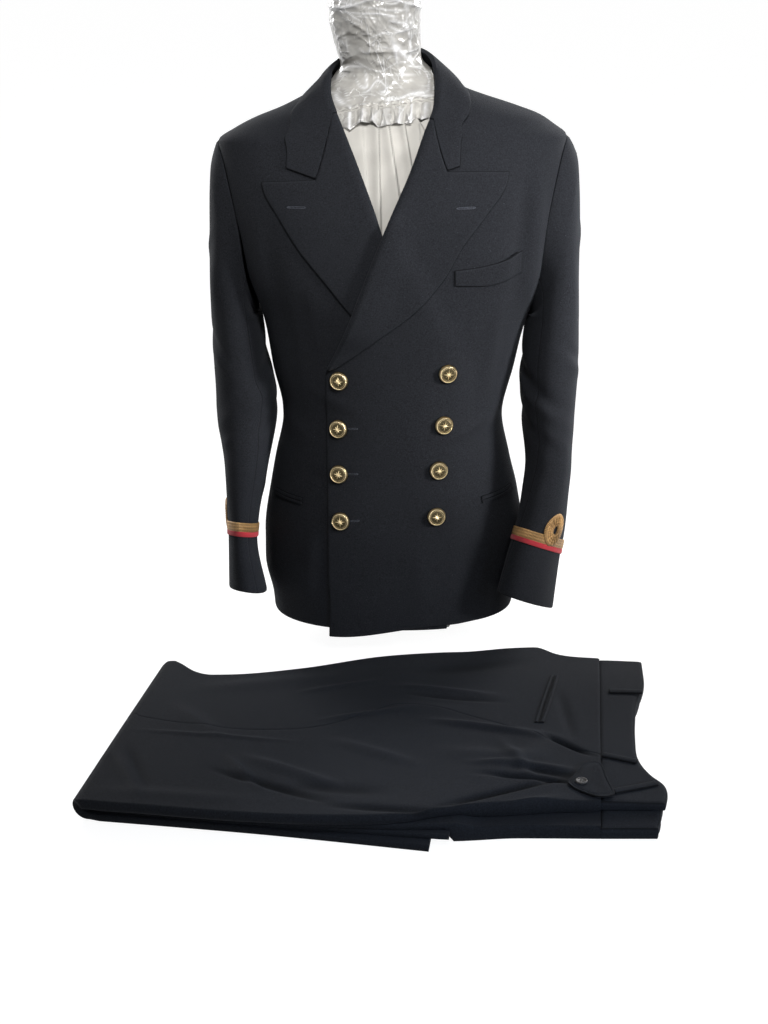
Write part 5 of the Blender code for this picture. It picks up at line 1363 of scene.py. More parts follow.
def sleeve_rows():
    """Places down a sleeve, close together at the armhole and at the cuff's edge."""
    fan = np.concatenate([[0.0, 0.006, 0.014, 0.026], np.linspace(0.045, 1.0, 34)])
    low = 2 - np.array([0.0045, 0.0026, 0.0012, 0.0005, 0.0]) / 0.38
    return np.concatenate([fan, np.linspace(1.0, low[0] - 0.008, 92)[1:], low])


def build_sleeves():
    """Top sleeve and under sleeve of each arm, joined along a front and a hind seam."""
    spans = {"top": (HIND_SLEEVE_SEAM - 360 + SLEEVE_GAP, FRONT_SLEEVE_SEAM - SLEEVE_GAP, 84),
             "under": (FRONT_SLEEVE_SEAM + SLEEVE_GAP, HIND_SLEEVE_SEAM - SLEEVE_GAP, 48)}
    for which in ("left", "right"):
        for half, (first, last, columns) in spans.items():
            turns = spread(columns, 0.2, first, last)
            outer, normals = sleeve_wall(which, sleeve_rows(), turns)
            sew("sleeve_%s_%s" % (half, which), hung(outer), "draped", ["jacket_front_%s_cloth" % which],
                normals, grid_size(outer))


def build_cuffs():
    """Gold lace and red cloth round each cuff, and the lace's curl on the outer side."""
    for which in ("left", "right"):
        build_band(which, "gold_lace", LACE_EDGES[:2], "gold_lace", 0.00016)
        build_band(which, "red_band", LACE_EDGES[2:], "red_cloth", 0.0)
        build_curl(which)


def build_band(which, kind, edges, slot, rib):
    """Ring of lace or red cloth round a cuff, higher along its middle."""
    high, low = edges
    turns = np.linspace(0, 360, 180, endpoint=False)
    levels = high + (low - high) * np.array(BAND_ROWS)
    skin, normals = sleeve_wall(which, [cuff_place(which, level) for level in levels], turns)
    crown = np.sin(np.linspace(0, np.pi, len(levels)))[:, None, None] ** 0.5
    ribs = rib * np.sin(turns * 2)[None, :, None]
    outer = hung(skin + normals * (LACE_SEAT + LACE_CLOTH * (0.6 + 0.4 * crown) + ribs * crown))
    name = "%s_%s" % (kind, which)
    piece = shell(name + "_trim", outer, slot, LACE_CLOTH * 0.55, normals, wrap=True, dip=0.0)
    wear(piece, slot, name)
    around = float(np.max(running(outer, 1)[:, -1]))
    cut_cloth(piece, high - low, around, "stretched", ["sleeve_top_%s_cloth" % which])


def build_curl(which):
    """The lace's curl, a ribbed ring laid on the sleeve's outer side."""
    centre = LACE_EDGES[1] + CURL_OUTER
    radii = np.linspace(CURL_INNER, CURL_OUTER, 13)
    steps = np.arange(0, 360, 1.5)
    split = np.abs((radii - CURL_INNER) / (CURL_OUTER - CURL_INNER) - 0.5)
    lifts = CURL_SEAT + LACE_CLOTH * (1 - 0.3 * np.exp(-(split / 0.07) ** 2))
    wires = 0.00038 * np.sin(np.radians(steps * 44)) + 0.0001 * np.sin(np.radians(steps * 17))
    both = np.array([[curl_point(which, centre, radius, step, lift + wire * (1 - (2 * part) ** 4))
                      for step, wire in zip(steps, wires)]
                     for radius, lift, part in zip(radii, lifts, split)])
    piece = shell("lace_curl_%s_trim" % which, hung(both[..., 0, :]), "gold_lace",
                  CURL_SEAT + LACE_CLOTH - 0.0004, both[..., 1, :], wrap=True, dip=0.0003)
    wear(piece, "gold_lace", "lace_curl_" + which)
    cut_cloth(piece, CURL_OUTER - CURL_INNER, np.pi * (CURL_OUTER + CURL_INNER) * 1.2, "stretched",
              ["sleeve_top_%s_cloth" % which])


def curl_point(which, centre, radius, step, lift):
    """Point and normal of the curl, a circle laid on the sleeve's outer side."""
    aside = radius * np.sin(np.radians(step))
    place = cuff_place(which, centre + radius * np.cos(np.radians(step)))
    dense = np.linspace(-80, 80, 41)
    line, normals = sleeve_wall(which, [place], dense)
    run = running(line, 1)[0]
    at = np.interp(CURL_TURN[which], dense, run) + aside
    point = np.array([np.interp(at, run, line[0, :, axis]) for axis in range(3)])
    normal = unit(np.array([np.interp(at, run, normals[0, :, axis]) for axis in range(3)]))
    return point + normal * lift, normal


def build_welt():
    """Breast welt, a little open at its top edge."""
    share, down = spread(46, 0.088), spread(12, 0.02)
    upper, lower = along(WELT_TOP, share), along(WELT_LOW, share)
    grid = upper[None] + (lower - upper)[None] * down[:, None, None]
    gape = 0.0034 * ease(share, 0.4, 0.95)[None] * (1 - down[:, None]) ** 1.3
    outer = hung(on_front(grid[..., 0], grid[..., 1], JET_CLOTH + LAYER + 0.0004 + gape, over=True))
    sew("breast_welt", outer, "folded", ["jacket_front_left_cloth"], thickness=0.0015)


def build_hip_jets():
    """Two narrow jets round each hip pocket's slit."""
    share = spread(40, 0.1)
    for which, shape in HIP_JETS.items():
        side = shape["side"]
        start = np.abs(front_angle(side * 0.121, HIP_LEVEL))
        dense = spaced_angles(HIP_LEVEL, side * start, side * 68, 161)
        angles = np.interp(share, np.linspace(0, 1, 161), dense)
        slit = shape["z"] + shape["rise"] * share
        for level, sign in (("upper", 1), ("lower", -1)):
            outer = []
            for part in spread(5, 0.005):
                base = torso_point(slit + sign * (SEAM * 1.6 + JET_WIDTH * 0.8 * (1 - part)), angles)
                lift = torso_drape(base) + LAYER + JET_CLOTH * 0.55 - 0.0004 * part
                if which == "left":
                    lift = lift + fronts_lap(base[:, 0], base[:, 2])
                if level == "lower":
                    lift = lift + 0.0016 * np.sin(np.pi * share) * part
                outer.append(base + torso_normal(base) * lift[:, None])
            outer = hung(np.array(outer))
            sew("hip_jet_%s_%s" % (which, level), outer, "folded", ["jacket_front_%s_cloth" % which],
                thickness=0.0013, size=(LEAST_FLAT, grid_size(outer)[1]))


def button_relief(share, turn):
    """Face of a button: a dome with an eight-point star, a beaded ring and a twisted rope rim."""
    dome = 0.0052 * (1 - 0.42 * share ** 2)
    rope_share = np.clip((share - 0.885) / 0.105, -1, 1)
    rope = 0.002 * np.sqrt(1 - rope_share ** 2) * (1 + 0.22 * np.sin(26 * turn + 5 * rope_share))
    face = np.where(share < 0.8, dome, 0.0052 * (1 - 0.42 * 0.64) * (1 - ease(share, 0.8, 0.99)))
    swing = (turn + np.pi / 8) % (np.pi / 4) - np.pi / 8
    which_ray = np.round((turn - swing) / (np.pi / 4)).astype(int) % 2
    reach = np.where(which_ray == 0, 0.56, 0.4)
    aside, out = np.abs(share * np.sin(swing)), share * np.cos(swing)
    half = 0.12 * np.clip(1 - out / reach, 0, 1)
    star = 0.001 * np.clip(1 - aside / np.maximum(half, 1e-4), 0, 1) ** 0.8 * (out < reach)
    hub = 0.0008 * (1 - ease(share, 0.04, 0.12))
    beads = 0.0006 * np.exp(-((share - 0.68) / 0.045) ** 2) * (0.6 + 0.4 * np.cos(24 * turn))
    relief = np.maximum(star, hub) + beads + rope
    return face + relief, np.clip(relief / 0.0012, 0, 1)


def build_buttons():
    """Eight domed gilt buttons, in two columns that draw together toward the hem."""
    radius = sizes().button_radius
    shares = np.concatenate([np.linspace(0.02, 0.8, 24), np.linspace(0.815, 0.99, 12)])
    turns = circle(104)
    share, turn = np.meshgrid(shares, turns, indexing="ij")
    under = [(1.0, 0.0022), (0.985, 0.0012), (0.9, 0.0004), (0.72, 0.0)]
    for number, (x, z) in enumerate(BUTTONS, 1):
        seat = hung(on_front(x, z, 0.0007, over=True))
        normal = torso_normal(seat)
        side = unit(np.cross((0.0, 0.0, 1.0), normal))
        rise = np.cross(normal, side)
        ring = np.cos(turns)[:, None] * side + np.sin(turns)[:, None] * rise
        lean = np.radians((7 * number) % 23 - 9)
        height, high = button_relief(share, turn + lean)
        rings = [seat + normal * line[:, None] + radius * out * ring for out, line in zip(shares, height)]
        rings += [seat + normal * level + radius * out * ring for out, level in under]
        values = np.concatenate([high, np.zeros((len(under), len(turns)))])
        piece = tube("button_%d_gilt" % number, rings, "gilt_brass", values, angle=75.0)
        wear(piece, "gilt_brass", "button_%d" % number)


# The dress form

def crumple(points, seed, count, size, pitch, sharpness=3):
    """Creased film: sharp ridges that cross with no common direction, each fading in and out."""
    source = np.random.default_rng(seed)
    total = np.zeros(points.shape[:-1])
    warp = 0
    for number in range(4):
        wave = np.sin(points @ source.normal(size=3) * 55 + number)
        warp = warp + wave[..., None] * source.normal(size=3) * 0.004
    for _ in range(count):
        heading = unit(source.normal(size=3))
        length = pitch * source.uniform(0.6, 1.7)
        wave = np.abs(np.sin((points + warp) @ heading * np.pi / length + source.uniform(0, 6.28)))
        ridge = size * source.uniform(0.4, 1.0) * (1 - wave) ** sharpness
        if sharpness > 3:
            patch = np.sin(points @ unit(source.normal(size=3)) * 110 + source.uniform(0, 6.28))
            total = np.maximum(total, ridge * ease(patch, 0.1, 0.8))
        else:
            total = total + ridge
    return total


PLEATS = named(
    "x z to_x to_z width height",
    (-0.0185, 0.72, -0.015, 0.56, 0.0085, 0.0036),
    (-0.04, 0.72, -0.029, 0.58, 0.01, 0.0016),
    (-0.008, 0.72, 0.011, 0.6, 0.009, 0.0034),
    (0.012, 0.72, 0.026, 0.64, 0.007, 0.0036),
    (0.023, 0.725, 0.044, 0.69, 0.006, 0.0028),
    (0.033, 0.7, 0.037, 0.64, 0.007, 0.0016))
FILM_LOW = 0.734


def pleat_lift(x, z):
    """Pleats laid to one side: each rises slowly and drops at a crisp edge, with a painted shade line along
    it.
    """
    total, line_share = np.zeros(x.shape), np.zeros(x.shape)
    for pleat in PLEATS:
        start_x, start_z, to_x, to_z, width, height = pleat.values()
        line = unit(np.array((to_x, to_z)) - (start_x, start_z))
        aside = (x - start_x) * -line[1] + (z - start_z) * line[0]
        reach = np.where(aside < 0, width, 0.001)
        total = np.maximum(total, height * np.exp(-(aside / reach) ** 2))
        weight = min(1.0, height / 0.0032)
        # line_share marks a painted shade line just past each pleat's crisp edge.
        line_share = np.maximum(line_share, weight * np.exp(-((aside - 0.0009) / 0.0013) ** 2))
    return total, line_share


def breast_angles(xs):
    """Angles round the form at which its surface passes these x, at the breast."""
    dense = np.linspace(-80, 80, 1601)
    return np.interp(xs, torso_point(np.full(dense.shape, 0.7), dense)[:, 0], dense)


def form_surface(angles, levels):
    """Rings of the form from its foot to the neck's top, and their outward normals."""
    aside = np.sin(np.radians(angles))
    rings = []
    for z in levels:
        if z <= NECK:
            base = torso_point(np.full(angles.shape, max(z, TORSO.rows[0, 0])), angles)
            upright = (1, 1, ease(z, 0.6, 0.705))
            inset = FORM_INSET("side", z) * aside ** 2 + FORM_INSET("front", z) * (1 - aside ** 2)
            inset = inset + 0.014 * (1 - ease(z, 0.02, 0.055))
            ring = base - unit(torso_normal(base) * upright) * inset[:, None]
            if z < HEM:
                ring[:, 2] = z
        else:
            x = FORM_NECK("centre", z) + FORM_NECK("half", z) * aside
            y = FORM_NECK("middle", z) - FORM_NECK("deep", z) * np.cos(np.radians(angles))
            ring = np.stack([x, y, np.full(angles.shape, z)], -1)
        rings.append(ring)
    rings = hung(np.array(rings))
    normals = unit(np.cross(np.gradient(rings, axis=1), np.gradient(rings, axis=0)))
    if np.sum(normals[len(levels) // 2, len(angles) // 2] * (0, -1, 0)) < 0:
        normals = -normals
    return rings, normals


def build_form():
    """Limbless dress form in its pale cover: creased film down to the breast with painted highlights on its
    creases, and pleats below it with painted shade along their edges.
    """
    near = breast_angles(np.linspace(-0.078, 0.07, 186))
    angles = np.linspace(-180, 180, 160, endpoint=False)
    angles = np.sort(np.concatenate([angles[(angles < near[0] - 1) | (angles > near[-1] + 1)], near]))
    levels = np.concatenate([np.linspace(0, 0.56, 36), np.linspace(0.567, 0.712, 54),
                             np.linspace(0.714, NECK, 42), np.linspace(NECK + 0.0014, 0.866, 76),
                             [0.869, 0.872, 0.8745, 0.8765, 0.878]])
    rings, normals = form_surface(angles, levels)
    x, y, z = np.moveaxis(rings, -1, 0)
    height = levels[:, None] - 0.11 * x * ease(-y, 0.0, 0.04)
    film = ease(height, FILM_LOW - 0.003, FILM_LOW + 0.003) * (1 - ease(z, 0.872, 0.88))
    shown = ease(-y, 0.0, 0.03) * ease(z, 0.54, 0.58) * (1 - film)
    pleats, line_share = pleat_lift(x, z)
    facing = ease(np.abs(np.cos(np.radians(angles))), 0.2, 0.6)[None, :]
    calm = (1 - 0.75 * ease(z, 0.85, 0.86)) * (0.3 + 0.7 * facing) * (0.6 + 0.4 * ease(z, 0.74, 0.79))
    creased = crumple(rings, 7, 12, 0.0017, 0.04) + crumple(rings, 19, 10, 0.0007, 0.014)
    swag = np.exp(-((z - 0.851 - 0.006 * np.cos((x + 0.012) * 60)) / 0.002) ** 2)
    lift = film * (calm * creased + 0.0016 * swag - 0.0008) + pleats * shown
    lift = lift + (1 - film) * ease(z, 0.6, 0.66) * ripple(rings, 5, 0.0002) * ease(-y, 0.02, 0.04)
    # Painted highlights: sharp white lines along crossing creases and along the swag fold, and white on the
    # higher crumples.
    lines = crumple(rings, 3, 13, 1.0, 0.034, 14) * (0.35 + 0.65 * facing) + 0.5 * swag
    broad = np.clip((calm * creased) / 0.0066, 0, 1)
    # Marks: the film with its painted highlights, and painted shade lines below zero along the pleats' edges.
    marks = film * (0.3 + 0.7 * np.clip(0.95 * lines + 0.25 * broad, 0, 1)) - 0.8 * line_share * shown
    piece = tube("dress_form_cover", rings + normals * lift[..., None], "form_cover", marks, angle=180.0)
    wear(piece, "form_cover", "dress_form")


def build_frill():
    """Gathered band of film across the breast, where the film on the neck ends."""
    xs = np.linspace(-0.074, 0.064, 420)
    source = np.random.default_rng(11)
    phase = np.cumsum(source.uniform(0.0, 1.0, 420) ** 2) * 0.42
    depth = np.interp(np.linspace(0, 34, 420), np.arange(35), source.uniform(0.25, 1.15, 35))
    sway = np.interp(np.linspace(0, 20, 420), np.arange(21), source.uniform(-1, 1, 21))
    levels = np.linspace(0.69, NECK, 60)
    rings, normals = (np.array([[np.interp(xs, row[:, 0], grid_row[:, axis]) for axis in range(3)]
                                for row, grid_row in zip(surface[0], grid)]).transpose(0, 2, 1)
                      for surface in [form_surface(np.linspace(-78, 78, 300), levels)] for grid in surface)
    shown = np.exp(-(np.abs(rings[30, :, 0] + 0.008) / 0.05) ** 6)
    rows, marks = [], []
    for share in np.linspace(0, 1, 20):
        level = FILM_LOW + 0.0015 + 0.11 * rings[30, :, 0] - 0.0275 * share + 0.003 * sway * (0.3 + share)
        place = np.interp(level, levels, np.arange(60))
        row = np.clip(place.astype(int), 0, 58)
        mix = (place - row)[:, None]
        at = np.arange(420)
        base = rings[row, at] * (1 - mix) + rings[row + 1, at] * mix
        out = normals[row, at] * (1 - mix) + normals[row + 1, at] * mix
        ruffle = 0.0036 * depth * (share * 0.9 + 0.1) * (1 + np.sin(phase + 0.9 * share))
        pinch = 0.001 * np.exp(-((share - 0.17) / 0.08) ** 2)
        wrinkled = crumple(base, 23, 9, 0.0011, 0.016) * (0.3 + share)
        lift = 0.0004 + shown * (0.0012 + 0.0022 * share + ruffle * (0.55 + 0.45 * sway) - pinch + wrinkled)
        rows.append(base + unit(out) * lift[:, None])
        # Marks: painted highlight on the ruffle crests and wrinkles, and painted shade along the pinch's
        # crease, below zero.
        fold = 0.5 + 0.5 * np.sin(phase + 0.9 * share)
        mark = 0.3 + 0.55 * np.clip(depth * fold, 0, 1) ** 4 + 90 * wrinkled - 0.25 * (1 - fold) ** 6
        marks.append(mark - 0.9 * np.exp(-((share - 0.17) / 0.05) ** 2))
    grid = np.array(rows)
    out = unit(normals[30])[None] * np.ones((20, 1, 1))
    piece = shell("neck_frill", grid, "form_cover", 0.0003, out, dip=0.0)
    paint_shade_and_masks(piece, np.array(marks))
    wear(piece, "form_cover")
    cut_cloth(piece, grid_size(grid)[1], grid_size(grid)[0], "gathered", ["dress_form_cover"])


def paint_shade_and_masks(piece, marks):
    """Write marks to the first vertices of a piece, which are its outer grid."""
    layer = piece.data.attributes["worn"]
    held = np.zeros(len(piece.data.vertices), np.float32)
    layer.data.foreach_get("value", held)
    held[:marks.size] = marks.reshape(-1)
    held[marks.size:2 * marks.size] = 0.3
    layer.data.foreach_set("value", held)


# The folded trousers

def rolled_edge(first, second, y, way, bulge, count=7):
    """Points that round a layer's edge between its outer and inner lines."""
    turn = np.linspace(0, np.pi, count + 2)[1:-1]
    mixed = first + (second - first) * ((1 - np.cos(turn)) / 2)[:, None]
    return np.stack([mixed[:, 0], y + way * bulge * np.sin(turn), mixed[:, 1]], -1)


def slab(name, stations, part, columns):
    """One layer of a leg as closed rings, with a sewn dip at its seam, painted shade in its fold valleys and
    painted highlight on its fold ridges.
    """
    rings, marks = [], []
    for station in stations:
        near, far, seam = station["near"], station["far"], station["seam"]
        spans = {"front": (near, seam - SEAM / 2), "back": (seam + SEAM / 2, far), "whole": (near, far)}
        low, high = spans[part]
        ys = spread(columns, max(high - low, 0.05), low, high)
        outer, inner = (np.stack(np.broadcast_arrays(*station[side](ys)), -1) for side in ("outer", "inner"))
        toward = unit(inner - outer)
        if part != "whole":
            away = high - ys if part == "front" else ys - low
            outer = outer + toward * (0.0006 * np.exp(-(away / 0.0012) ** 2))[:, None]
        line = [np.stack([outer[:, 0], ys, outer[:, 1]], -1)]
        if part in ("back", "whole"):
            line.append(rolled_edge(outer[-1], inner[-1], ys[-1], 1, station["bulge"]))
        line.append(np.stack([inner[:, 0], ys, inner[:, 1]], -1)[::-1])
        if part in ("front", "whole"):
            line.append(rolled_edge(inner[0], outer[0], ys[0], -1, station["bulge"]))
        ring = np.concatenate(line)
        rings.append(trouser_place(ring[:, 0], ring[:, 1], ring[:, 2]))
        # Marks from the folds on the upper side: below zero in the valleys for painted shade, above zero on
        # the ridges for painted highlight.
        creased = fold_lift(ring[:, 0], ring[:, 1], TROUSER_FOLDS)
        upper = ease(ring[:, 2], TROUSER_TOP - 0.009, TROUSER_TOP - 0.005)
        marks.append(np.clip(creased / 0.006, -0.62, 0.55) * upper)
    return tube(name, rings, "navy_cloth", np.array(marks))


def level_side(reach, height):
    """Side of a layer at one station, level all the way across."""
    return lambda y: (np.full(y.shape, float(reach)), np.full(y.shape, float(height)))


def leg_stations(which):
    """Stations of one leg: from the waistband seam round the knee fold to the hem beneath."""
    shin, outer_leg = SHINS[which], which == "right"
    edges = TOP_LEG if outer_leg else UNDER_LEG
    bottom = 0.0 if outer_leg else SHIN_CLOTH + LAYER
    layer = SHIN_CLOTH if outer_leg else INNER_CLOTH
    top = TROUSER_TOP if outer_leg else TROUSER_TOP - THIGH_CLOTH - LAYER
    under_top = top - THIGH_CLOTH if outer_leg else bottom + layer + LAYER
    fold_start = FOLD_END + 0.02
    stations = []
    close = BAND_SEAM - SEAM - np.array([0.0, 0.0005, 0.0012, 0.0022, 0.004])
    for reach in np.concatenate([close, np.linspace(0.238, fold_start, 112)]):
        past_hem = ease(reach, 0.09, 0.12)
        bulge = 0.0022
        if outer_leg:
            dip = 0.001 * np.exp(-((BAND_SEAM - reach) / 0.0016) ** 2)
            outer = lambda y, r=reach, d=dip: (r, leg_top(np.float64(r), y) - d)
            floor = under_top + (0.0164 - under_top) * past_hem
            bulge = bulge + 0.0013 * ease(reach, fold_start, FOLD_END + 0.09)
        else:
            outer = level_side(reach, top + (0.016 - top) * past_hem)
            floor = under_top * (1 - ease(reach, 0.083, 0.0875))
        stations.append(dict(near=float(edges("near", reach)), far=float(edges("far", reach)),
                             seam=float(SIDE_SEAM("y", reach)), outer=outer, inner=level_side(reach, floor),
                             bulge=bulge))
    centre_out, radius_out = (top + bottom) / 2, (top - bottom) / 2
    centre_in, radius_in = (under_top + bottom + layer) / 2, (under_top - bottom - layer) / 2
    start = FOLD_END + radius_out + (0.0 if outer_leg else THIGH_CLOTH)
    shin_near, shin_far = Table("along y", *shin["near"]), Table("along y", *shin["far"])
    for turn in np.linspace(0, 180, 34)[1:]:
        angle, share = np.radians(turn), ease(turn, 0, 180)
        edge_at = FOLD_END + 0.02 * (1 - ease(turn, 0, 70))
        near = edges("near", edge_at) * (1 - share) + shin_near("y", FOLD_END) * share
        far = edges("far", edge_at) * (1 - share) + shin_far("y", FOLD_END) * share
        swell = leg_top(np.float64(fold_start), np.linspace(near, far, 5)).mean() - TROUSER_TOP
        out = (start - (radius_out + swell * 0.5 * np.sin(angle)) * np.sin(angle),
               centre_out + radius_out * np.cos(angle))
        into = (start - radius_in * np.sin(angle), centre_in + radius_in * np.cos(angle))

        def fold_out(y, p=out, fade=(1 - ease(turn, 0, 75)) * outer_leg):
            lift = (leg_top(np.float64(fold_start), y) - TROUSER_TOP) * fade
            return p[0] - lift * 0.3, p[1] + lift
        tuck = np.sin(angle) ** 2
        stations.append(dict(near=float(near) + 0.004 * tuck, far=float(far) - 0.011 * tuck,
                             seam=float(SIDE_SEAM("y", FOLD_END)), outer=fold_out, inner=level_side(*into),
                             bulge=0.0022))
    for reach in np.linspace(start + 0.012, shin["hem"], 40):
        near, far = float(shin_near("y", reach)), float(shin_far("y", reach))
        stations.append(dict(near=near, far=far, seam=near + (far - near) * 0.52,
                             outer=level_side(reach, bottom), inner=level_side(reach, bottom + layer),
                             bulge=0.0015))
    return stations


def build_trouser_legs():
    """Right leg as front and back, laid over and round the left leg."""
    stations = leg_stations("right")
    for part, columns, width in (("front", 74, 0.2), ("back", 62, 0.19)):
        piece = slab("trousers_right_%s_cloth" % part, stations, part, columns)
        wear(piece, "navy_cloth", "trousers_right_" + part)
        cut_cloth(piece, width, 1.04, "folded", ["trousers_left_leg_cloth"])
    piece = slab("trousers_left_leg_cloth", leg_stations("left"), "whole", 60)
    wear(piece, "navy_cloth", "trousers_left_leg")
    cut_cloth(piece, 0.4, 1.02, "folded", ["trousers_right_front_cloth"])


def build_waistbands():
    """Upper and lower bands beyond the seam, ending in the waist's edge."""
    shares = spread(18, 0.042)
    ys = spread(92, 0.36, -0.576, -0.2155)
    edge = WAIST_EDGE("along", ys)
    reach = BAND_SEAM + SEAM + shares[:, None] * (edge - BAND_SEAM - SEAM)[None]
    y = np.broadcast_to(ys, reach.shape)
    roll = 0.0022 * np.exp(-((edge[None] - reach) / 0.003) ** 2)
    top = trouser_place(reach, y, band_height(reach, y) - roll * 0.4)
    piece = block("waistband_right_cloth", top, BAND_SPLIT + LAYER)
    wear(piece, "navy_cloth", "waistband_right")
    cut_cloth(piece, 0.052, 0.375, "laid", ["waistband_left_cloth"])
    ys = spread(92, 0.38, -0.606, -0.226)
    edge = WAIST_EDGE("along", np.maximum(ys, -0.6)) - 0.004
    reach = BAND_SEAM + SEAM + shares[:, None] * (edge - BAND_SEAM - SEAM)[None]
    y = np.broadcast_to(ys, reach.shape)
    height = BAND_SPLIT - 0.003 * ease(-y, 0.585, 0.606)
    piece = block("waistband_left_cloth", trouser_place(reach, y, height), 0.0)
    wear(piece, "navy_cloth", "waistband_left")
    cut_cloth(piece, 0.052, 0.395, "laid", ["trousers_left_leg_cloth"])


def block(name, top, floor):
    """Closed layer of wool from a top grid down to a level floor, with rounded upper and lower edges."""
    # fade marks the top's edges: painted shade in the wool, as well as a slight drop.
    fade = edge_fade(top, 0.0016)
    upper, low = top.copy(), top.copy()
    upper[..., 2] -= 0.001 * fade
    low[..., 2] = floor
    border, inside = border_of(*top.shape[:2])
    away = (top[border] - top[inside]) * (1, 1, 0)
    away = away / np.maximum(np.linalg.norm(away, axis=1, keepdims=True), 1e-9)
    rounding = []
    for turn in np.linspace(0, np.pi, 7)[1:-1]:
        share = (1 - np.cos(turn)) / 2
        points = upper[border] * (1 - share) + low[border] * share + away * 0.0016 * np.sin(turn)
        # Marks round the rim, highest near the upper and lower edges: painted shade in the wool.
        rounding.append((points, np.abs(np.cos(turn))))
    uv = np.stack([running(top, 1), running(top, 0)], -1)
    line = border[0] * top.shape[1] + border[1]
    return wall(name, upper, low, fade, uv, [(line, uv[border], rounding)], "navy_cloth")


def round_corners(outline):
    """Smooth closed outline through the corners of a plain one."""
    points = np.array(outline)
    for _ in range(2):
        after = np.roll(points, -1, axis=0)
        points = np.stack([points * 0.8 + after * 0.2, points * 0.2 + after * 0.8], 1).reshape(-1, 2)
    return points


def tab_height(x, y):
    """Height of the trousers under the side tab, which bridges the hollows there."""
    level = float(np.max(top_height(*np.array(TAB_OUTLINE).T))) + LAYER
    return np.maximum(top_height(x, y), level - 0.001)


def build_side_tab():
    """Adjusting tab with its turned edge, marked for a painted dark outline of shade."""
    outline = round_corners(TAB_OUTLINE)
    centre = outline.mean(axis=0)
    rows = []
    for scale in (1.0, 0.985, 0.96, 0.93, 0.9, 0.86, 0.7, 0.5, 0.3, 0.1):
        x, y = (centre + (outline - centre) * scale).T
        seam_dip = 0.0006 * np.exp(-((scale - 0.9) / 0.022) ** 2)
        rows.append(trouser_place(x, y, tab_height(x, y) + LAYER + 0.0022 - seam_dip))
    top = np.array(rows)
    low = top[0] - (0, 0, 0.002)
    edge = (top[0] + low) / 2 + unit((top[0] - top[3]) * (1, 1, 0)) * 0.0009
    rings = [low, edge, *top]
    values = np.zeros((len(rings), len(outline)))
    # Painted shade: the edge rings are marked 1, a dark outline in the wool.
    values[1:3] = 1.0
    piece = tube("side_tab_cloth", rings, "navy_cloth", values)
    wear(piece, "navy_cloth", "side_tab")
    cut_cloth(piece, 0.06, 0.085, "laid", ["waistband_right_cloth"])


# Section of the tab's button from its underside round the rim to the middle: share of the radius and height
TAB_BUTTON_PROFILE = [(0.8, 0.0), (0.95, 0.0004), (1.0, 0.0012), (0.99, 0.0022), (0.93, 0.0029),
                      (0.85, 0.003), (0.78, 0.0026), (0.72, 0.002), (0.62, 0.0018), (0.45, 0.0018),
                      (0.25, 0.0018), (0.05, 0.0018)]


def build_tab_button():
    """Horn button of the side tab, with its rim and four holes."""
    seat = trouser_place(*TAB_BUTTON, tab_height(*TAB_BUTTON) + LAYER + 0.002)
    turns = circle(72)
    rings = []
    for share, height in TAB_BUTTON_PROFILE:
        ring = seat + TAB_BUTTON_RADIUS * share * np.stack([np.cos(turns), np.sin(turns), 0 * turns], -1)
        ring[:, 2] += height
        for quarter in np.arange(4) * np.pi / 2 + 0.6:
            hole = seat[:2] + 0.0016 * np.array([np.cos(quarter), np.sin(quarter)])
            away = np.linalg.norm(ring[:, :2] - hole, axis=1)
            ring[:, 2] -= 0.0012 * np.exp(-(away / 0.0007) ** 4) * (height > 0.0015)
        rings.append(ring)
    piece = tube("tab_button_horn", rings, "dark_horn", angle=60.0)
    wear(piece, "dark_horn", "tab_button")


def build_trouser_details():
    """Belt loops, a thin dark strip of painted shadow in the hip pocket's opening, and the jets round it."""
    for number, line in enumerate(BELT_LOOPS, 1):
        piece = strip("belt_loop_%d_cloth" % number, line, 0.0095, 0.002, 0.0012)
        wear(piece, "navy_cloth", "belt_loop_%d" % number)
        cut_cloth(piece, 0.0101, 0.047, "stretched", ["waistband_right_cloth"])
    slit = np.array(POCKET_SLIT)
    opening_shadow = strip("hip_pocket_mouth", slit, 0.0036, 0.0006, 0.0)
    # Painted shadow: the strip is marked far below zero, so the wool paints it near black.
    paint_shade_and_masks(opening_shadow, np.full(13 * 40, -0.95))
    wear(opening_shadow, "navy_cloth")
    for level, sign, width in (("upper", 1, 0.0044), ("lower", -1, 0.0036)):
        line = slit + (sign * 0.0036, 0) + [(0, 0), (sign * 0.0007, 0), (0, 0)]
        piece = strip("hip_pocket_jet_%s_cloth" % level, line, width, 0.0012, 0.0003)
        wear(piece, "navy_cloth", "hip_pocket_jet_" + level)
        cut_cloth(piece, 0.0101, 0.135, "folded", ["trousers_right_back_cloth"])


def strip(name, line, width, thickness, crown):
    """Narrow strip laid on what shows of the trousers, along a line, raised along its middle."""
    line = np.array(line)
    middle = along(line, spread(40, line_length(line)))
    direction = unit(np.gradient(middle, axis=0))
    aside = np.stack([-direction[:, 1], direction[:, 0]], -1) * width / 2
    rows = []
    for sign in np.linspace(-1, 1, 13):
        points = middle + sign * aside
        height = top_height(points[:, 0], points[:, 1]) + LAYER + 0.0002
        height = height + thickness + crown * (1 - sign ** 2) * 0.6
        rows.append(trouser_place(points[:, 0], points[:, 1], height))
    grid = np.array(rows)
    normals = np.broadcast_to(np.array((0.0, 0.0, 1.0)), grid.shape)
    return shell(name, grid, "navy_cloth", thickness * 0.9, normals, dip=0.0004)


# Stitches, made along paths by a node tree

